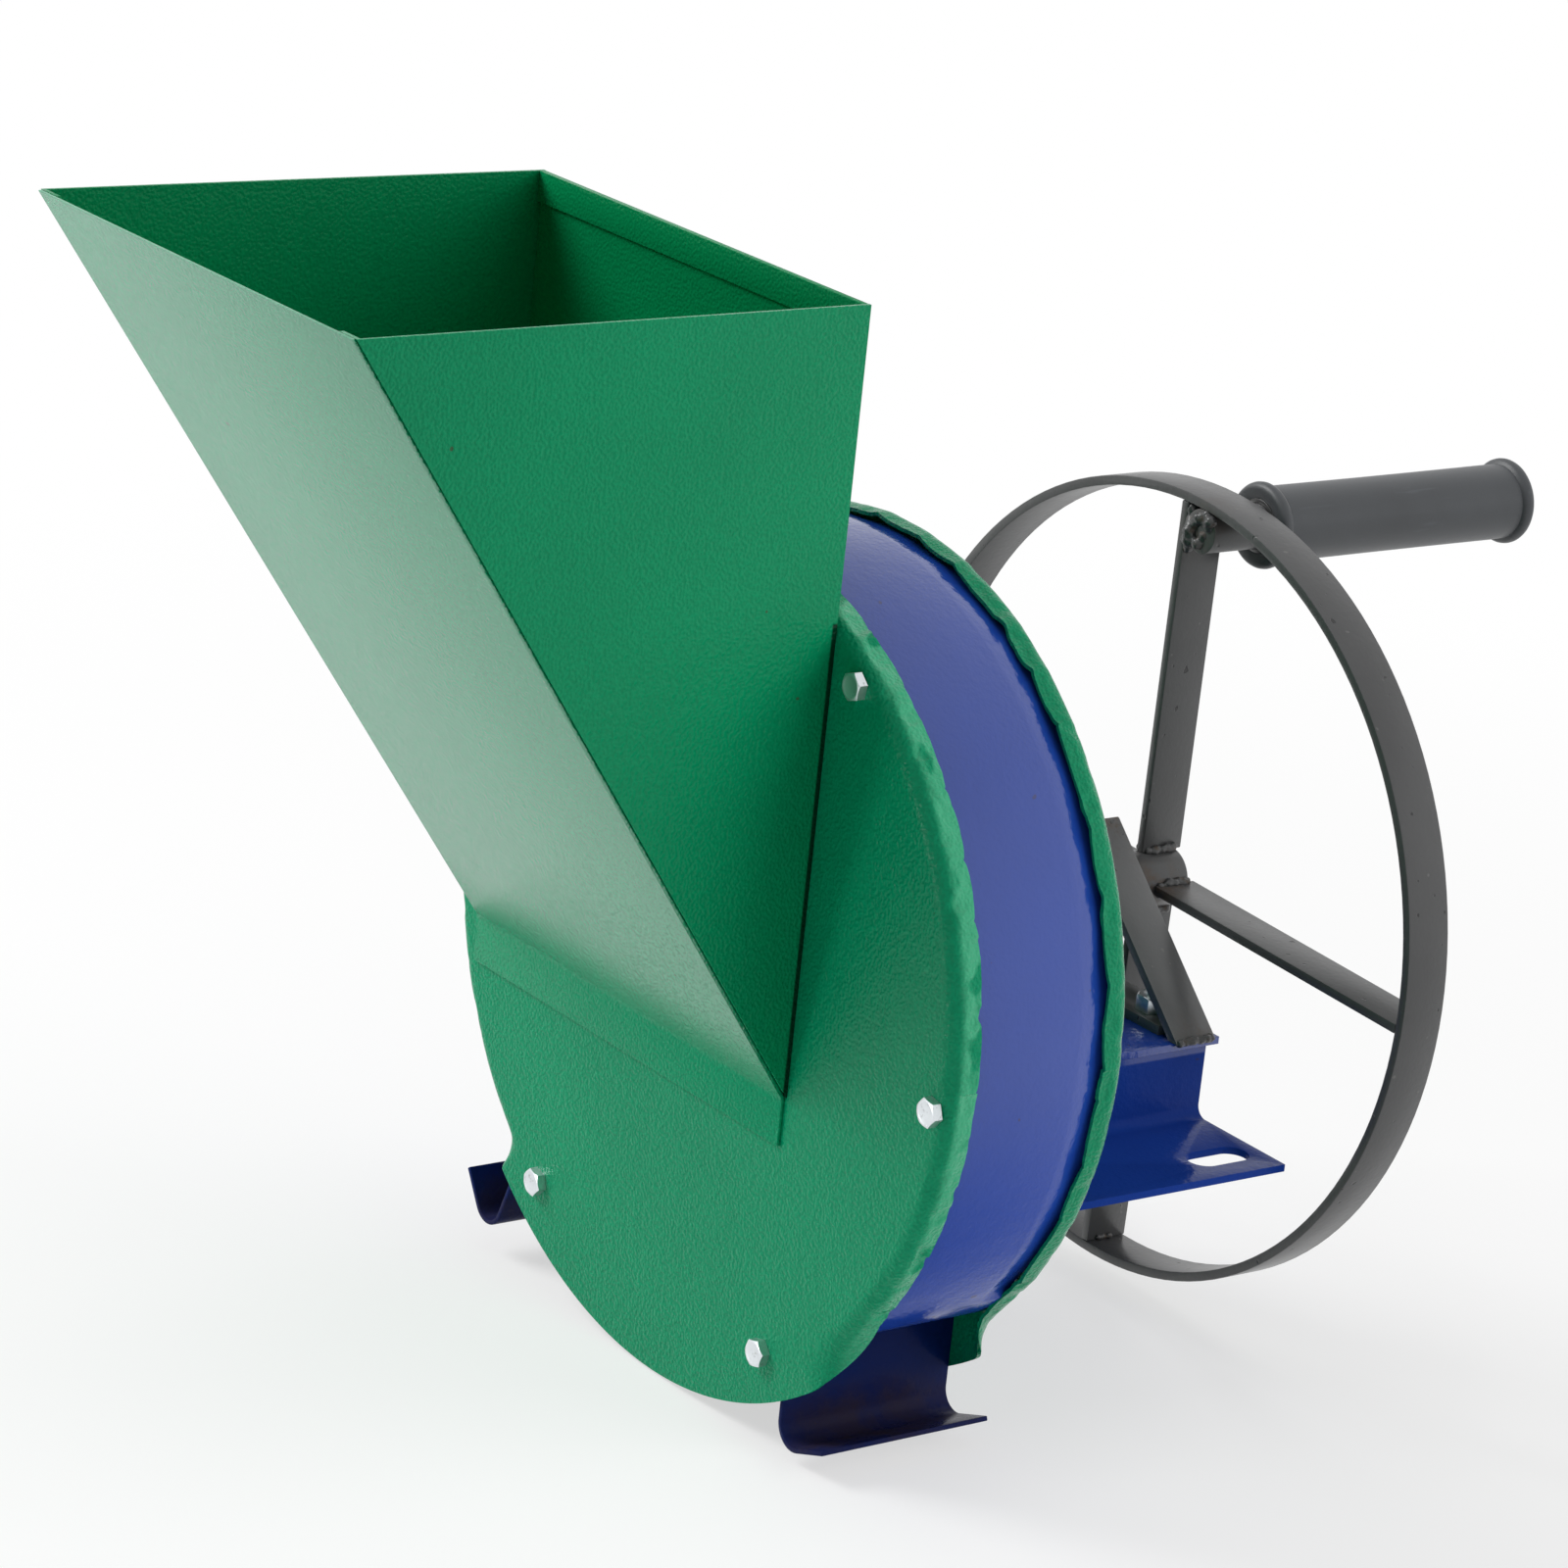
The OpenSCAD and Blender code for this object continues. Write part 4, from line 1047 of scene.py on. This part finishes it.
class SCRATTER_OT_wheel(bpy.types.Operator):
    """Crank wheel: rim, four spokes, hub, pin and the welds that join them"""

    bl_idname = "scratter.wheel"
    bl_label = "Crank wheel"

    def execute(self, context):
        stains = [
            (Vector((SHAFT_X + HUB_R, HUB_Y0 + 6 * MM, SHAFT_Z)), 20 * MM, (1, 1, 1), 0.8),
            (Vector((PIN.x, RIM_Y0, PIN.z)), 24 * MM, (1, 1, 1), 0.35)]
        paint = finish("wheel_paint", satin, settings("paint").black, stains)
        for node in ("flywheel_hub", "flywheel_rim", *SPOKES, "crank_pin"):
            eased(node, node + "_bar", "rotor", paint, "black_paint", 0.6 * MM)
        self.welds()
        return {"FINISHED"}

    def welds(self):
        bead = settings("weld").bead
        seed = settings("weld").seed
        inner = RIM_R - 4 * MM
        wide = RIM_Y1 - RIM_Y0
        lumps = []
        for turn, degrees in enumerate(SPOKES.values()):
            angle = math.radians(degrees)
            across = Vector((-math.sin(angle), 0, math.cos(angle)))
            hub_end = polar(angle, HUB_R + 1.0 * MM, 0)
            rim_end = polar(angle, inner - 1.0 * MM, 0)
            for side in (-1, 1):
                shift = across * side * 2.4 * MM
                seams = ((hub_end + shift, 0.30, 0.78, 0.75, 3),
                         (rim_end + shift * 0.9, 0.25, 0.60, 0.55, 5))
                for place, first, last, size, step in seams:
                    start, end = (
                        place + Vector((0, RIM_Y0 + share * wide, 0)) for share in (first, last))
                    lumps += bead_line(start, end, bead * size, seed + step * turn + side)
            front = hub_end + Vector((0, RIM_Y0 + 2.5 * MM, 0))
            lumps += bead_line(front - across * 2 * MM, front + across * 2 * MM,
                               bead * 0.8, seed + 11 * turn)
        new_weld("wheel_welds", "rotor", lumps, seed=5)
        dice = random.Random(seed)
        mass = []
        for _ in range(26):
            spot = Vector((
                PIN.x + dice.uniform(-8, 6) * MM, RIM_Y0 + dice.uniform(-0.5, 5) * MM,
                PIN.z + dice.uniform(-6, 7.5) * MM))
            mass.append((spot, dice.uniform(2.2, 3.6) * MM))
        mass += bead_line(
            (PIN.x - 8 * MM, RIM_Y0 + 2 * MM, PIN.z - 9 * MM),
            (PIN.x - 8 * MM, RIM_Y0 + 2 * MM, PIN.z + 7 * MM), bead, seed + 40)
        new_weld("pin_weld", "rotor", mass, seed=8, roughness=0.4)


class SCRATTER_OT_grip(bpy.types.Operator):
    """Rubber grip with rolled collars on its steel tube"""

    bl_idname = "scratter.grip"
    bl_label = "Grip"

    def execute(self, context):
        low, high = corners("rubber_grip")
        centre = middle("rubber_grip")
        collar = (high.x - low.x) / 2
        barrel, bore, roll = 30.7 / 2 * MM, 11.1 * MM, 2.6 * MM
        neck = settings("grip").neck
        length = high.y - low.y
        profile = [(bore, 0.4 * MM), (bore + 1.2 * MM, 0.0), (collar - roll, 0.0)]
        for i in range(1, 10):
            angle = -math.pi / 2 + math.pi * i / 10
            profile.append((
                collar - roll + roll * math.cos(angle), 2.8 * MM * (1 + math.sin(angle))))
        for i in range(9):
            part = i / 8
            drop = (collar - 2.2 * MM - barrel) * (1 - fade(part, 0, 1))
            profile.append((barrel + drop, 5.7 * MM + neck * 1.9 * part))
        barrel_part = [(barrel - 0.12 * MM * math.sin(math.pi * i / 12),
                        12.5 * MM + (length - 25 * MM) * i / 12) for i in range(1, 12)]
        last = [(radius, length - y) for radius, y in reversed(profile[2:])]
        recess = corners("grip_tube")[1].y - low.y
        end = [(12.4 * MM, length), (11.8 * MM, length - 0.5 * MM), (11.8 * MM, recess),
               (bore, recess)]
        outline = [(r, low.y + y) for r, y in profile + barrel_part + last + end]
        mesh = lathe("rubber_grip_skin", outline, 128, centre.x, centre.z)
        with editing(mesh) as work:
            bmesh.ops.bridge_loops(work, edges=[e for e in work.edges if e.is_boundary])
        mesh = smooth(outward(mesh), 50)
        new_piece(
            "rubber_grip_sleeve", mesh, "grip", finish("grip_rubber", grip_rubber),
            "grip_rubber", "rubber_grip")
        eased("grip_tube", "grip_tube_sleeve", "grip",
              finish("rusty_tube", turned_steel, 0.16), "bare_steel", 0.4 * MM)
        return {"FINISHED"}


class SCRATTER_OT_fasteners(bpy.types.Operator):
    """Zinc bolts of the drum, their lugs, and the hardware of the stand and pin"""

    bl_idname = "scratter.fasteners"
    bl_label = "Fasteners"

    def execute(self, context):
        metal = finish("zinc_plate", zinc)
        dice = random.Random(21)
        turn = settings("cover").turn
        heads, ends = [], []
        for i in range(6):
            angle = turn + i * math.pi / 3
            lift = 1.5 * MM if i == 2 else 0.0
            heads.append((
                polar(angle, BOLT_CIRCLE, FRONT_Y - lift),
                (0, dice.uniform(0, math.pi / 3), 0)))
            ends.append((polar(angle, BOLT_CIRCLE, 0), (0, 0, 0)))
        head = hex_shape("bolt_head_shape", BOLT_WIDTH, BOLT_HEIGHT)
        head_mesh = repeated("bolt_heads_mesh", head, heads, metal)
        tip = corners("cover_bolts")[1].y
        rods = lathe("rod_shape", [
            (0.0, FRONT_Y), (3 * MM, FRONT_Y), (3 * MM, tip - 0.7 * MM),
            (2.5 * MM, tip), (0.0, tip)], 32)
        rod_mesh = repeated("rods_mesh", smooth(outward(rods), 40), ends, metal)
        bolts = bpy.data.meshes.new("cover_bolts_mesh")
        with editing(bolts) as work:
            work.from_mesh(head_mesh)
            work.from_mesh(rod_mesh)
        new_piece("drum_bolts", smooth(bolts, 25), "frame", metal, "zinc_steel", "cover_bolts")
        eased("cover_lugs", "drum_lugs", "frame", blue(), "blue_paint", 0.4 * MM)
        sets = {"stand_bolts": "frame", "stand_nuts": "frame",
                "pin_end_washer": "rotor", "pin_end_screw": "rotor"}
        for node, body in sets.items():
            eased(node, node + "_set", body, metal, "zinc_steel", 0.35 * MM, 25)
        return {"FINISHED"}


class SCRATTER_OT_mill(bpy.types.Operator):
    """Grating disc, shaft and bearings inside the drum"""

    bl_idname = "scratter.mill"
    bl_label = "Disc and shaft"

    def execute(self, context):
        bare = finish("bare_steel", turned_steel)
        bright = finish("disc_steel", turned_steel, 0.55, 2400)
        metal = finish("zinc_plate", zinc)
        coats = {
            "grater_disc": (bright, "disc_steel"), "disc_washer": (metal, "zinc_steel"),
            "shaft_nut": (metal, "zinc_steel"), "disc_screws": (metal, "zinc_steel")}
        for node in ("bearing_outer_rings", "bearing_balls", "bearing_inner_rings",
                     "main_shaft", "front_spacer", "rear_spacer", "disc_hub"):
            coats[node] = (bare, "bare_steel")
        for node, (coat, slot) in coats.items():
            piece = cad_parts[node]
            piece.data.materials.clear()
            piece.data.materials.append(coat)
        return {"FINISHED"}


class SCRATTER_OT_stage(bpy.types.Operator):
    """Floor, even light, lamps and the camera"""

    bl_idname = "scratter.stage"
    bl_label = "Stage"

    def execute(self, context):
        self.world()
        self.floor()
        self.lamps()
        self.camera()
        return {"FINISHED"}

    def world(self):
        """Even light, which the camera and the mirrors see as plain white."""
        world = bpy.data.worlds.new("studio")
        bpy.context.scene.world = world
        nodes = Nodes(world, "World")
        even, white = (
            nodes.node("Background", inputs={"Color": WHITE, "Strength": strength})
            for strength in (settings("stage").ambient, 1.0))
        nodes.show_mixed(nodes.seen_rays(1.0), even, white)

    def floor(self):
        half = 6.0
        level = CAD_BOX[0][2] - 1 * MM
        mesh = bpy.data.meshes.new("floor_mesh")
        mesh.from_pydata(
            [(-half, -half, level), (half, -half, level), (half, half, level),
             (-half, half, level)], [], [(0, 1, 2, 3)])
        mesh.materials.append(self.floor_paint())
        placed("floor", mesh)

    def floor_paint(self):
        """Pale floor that keeps the shadow and turns plain white further out."""
        paint = Paint("pale_floor")
        paint.set(Base_Color=(0.93, 0.93, 0.93, 1.0), Roughness=0.9, Specular_IOR_Level=0.0)
        far = 1 - paint.near((0, -0.1, -0.1), 1.3, (1, 1, 0.01))
        white = paint.node("Emission", inputs={"Strength": 1.0})
        paint.show_mixed(paint.seen_rays(0.6 + 0.4 * far), paint.plain, white)
        return paint.material

    def lamps(self):
        power = settings("stage").key
        places = {
            "key": ((-1.6, -1.5, 1.8), 1.3, power),
            "side": ((2.1, 1.5, 0.9), 2.4, power * 0.8),
            "top": ((0.1, 0.2, 2.4), 1.8, power * 0.3),
            "front": ((-0.6, -2.1, 0.06), 0.28, power * 0.08),
        }
        aim = Vector((0, -0.08, 0.12))
        for name, (spot, size, watts) in places.items():
            lamp = bpy.data.lights.new(name, "AREA")
            lamp.shape = "SQUARE"
            lamp.size = size
            lamp.energy = watts
            holder = placed(name, lamp)
            holder.location = spot
            holder.visible_glossy = name in ("key", "front")
            holder.rotation_euler = (aim - Vector(spot)).to_track_quat("-Z", "Y").to_euler()

    def camera(self):
        look = settings("stage")
        right = Vector((math.cos(look.azimuth), math.sin(look.azimuth), 0))
        back = Vector((
            math.sin(look.azimuth) * math.cos(look.elevation),
            -math.cos(look.azimuth) * math.cos(look.elevation), math.sin(look.elevation)))
        up = back.cross(right)
        turned_right = math.cos(look.roll) * right + math.sin(look.roll) * up
        turned_up = -math.sin(look.roll) * right + math.cos(look.roll) * up
        lens = bpy.data.cameras.new("camera")
        lens.sensor_width = 36
        lens.lens = look.lens
        lens.shift_x = look.shift_x
        lens.shift_y = look.shift_y
        camera = placed("camera", lens)
        axes = Matrix((turned_right, turned_up, back)).transposed()
        camera.matrix_world = Matrix.Translation(Vector(look.place)) @ axes.to_4x4()
        bpy.context.scene.camera = camera
        bpy.context.scene.view_settings.view_transform = "Standard"


OPERATORS = (
    SCRATTER_OT_covers, SCRATTER_OT_drum, SCRATTER_OT_hopper, SCRATTER_OT_bracket,
    SCRATTER_OT_wheel, SCRATTER_OT_grip, SCRATTER_OT_fasteners, SCRATTER_OT_mill,
    SCRATTER_OT_stage)


class SCRATTER_PT_panel(bpy.types.Panel):
    """Lists the groups of pieces and their settings"""

    bl_idname = "SCRATTER_PT_panel"
    bl_label = "Apple scratter"
    bl_space_type = "VIEW_3D"
    bl_region_type = "UI"
    bl_category = "Scratter"

    def draw(self, context):
        for operator in OPERATORS:
            self.layout.operator(operator.bl_idname)
        for name in SETTINGS:
            group = getattr(context.scene, name)
            box = self.layout.box()
            for item in group.bl_rna.properties:
                if item.identifier not in ("rna_type", "name"):
                    box.prop(group, item.identifier)


CLASSES = tuple(SETTINGS.values()) + OPERATORS + (SCRATTER_PT_panel,)


def register():
    for kind in CLASSES:
        bpy.utils.register_class(kind)
    for name, kind in SETTINGS.items():
        setattr(bpy.types.Scene, name, PointerProperty(type=kind))


def unregister():
    for name in SETTINGS:
        delattr(bpy.types.Scene, name)
    for kind in reversed(CLASSES):
        bpy.utils.unregister_class(kind)


def main():
    register()
    for operator in OPERATORS:
        group, name = operator.bl_idname.split(".")
        getattr(getattr(bpy.ops, group), name)()


if __name__ == "__main__":
    main()
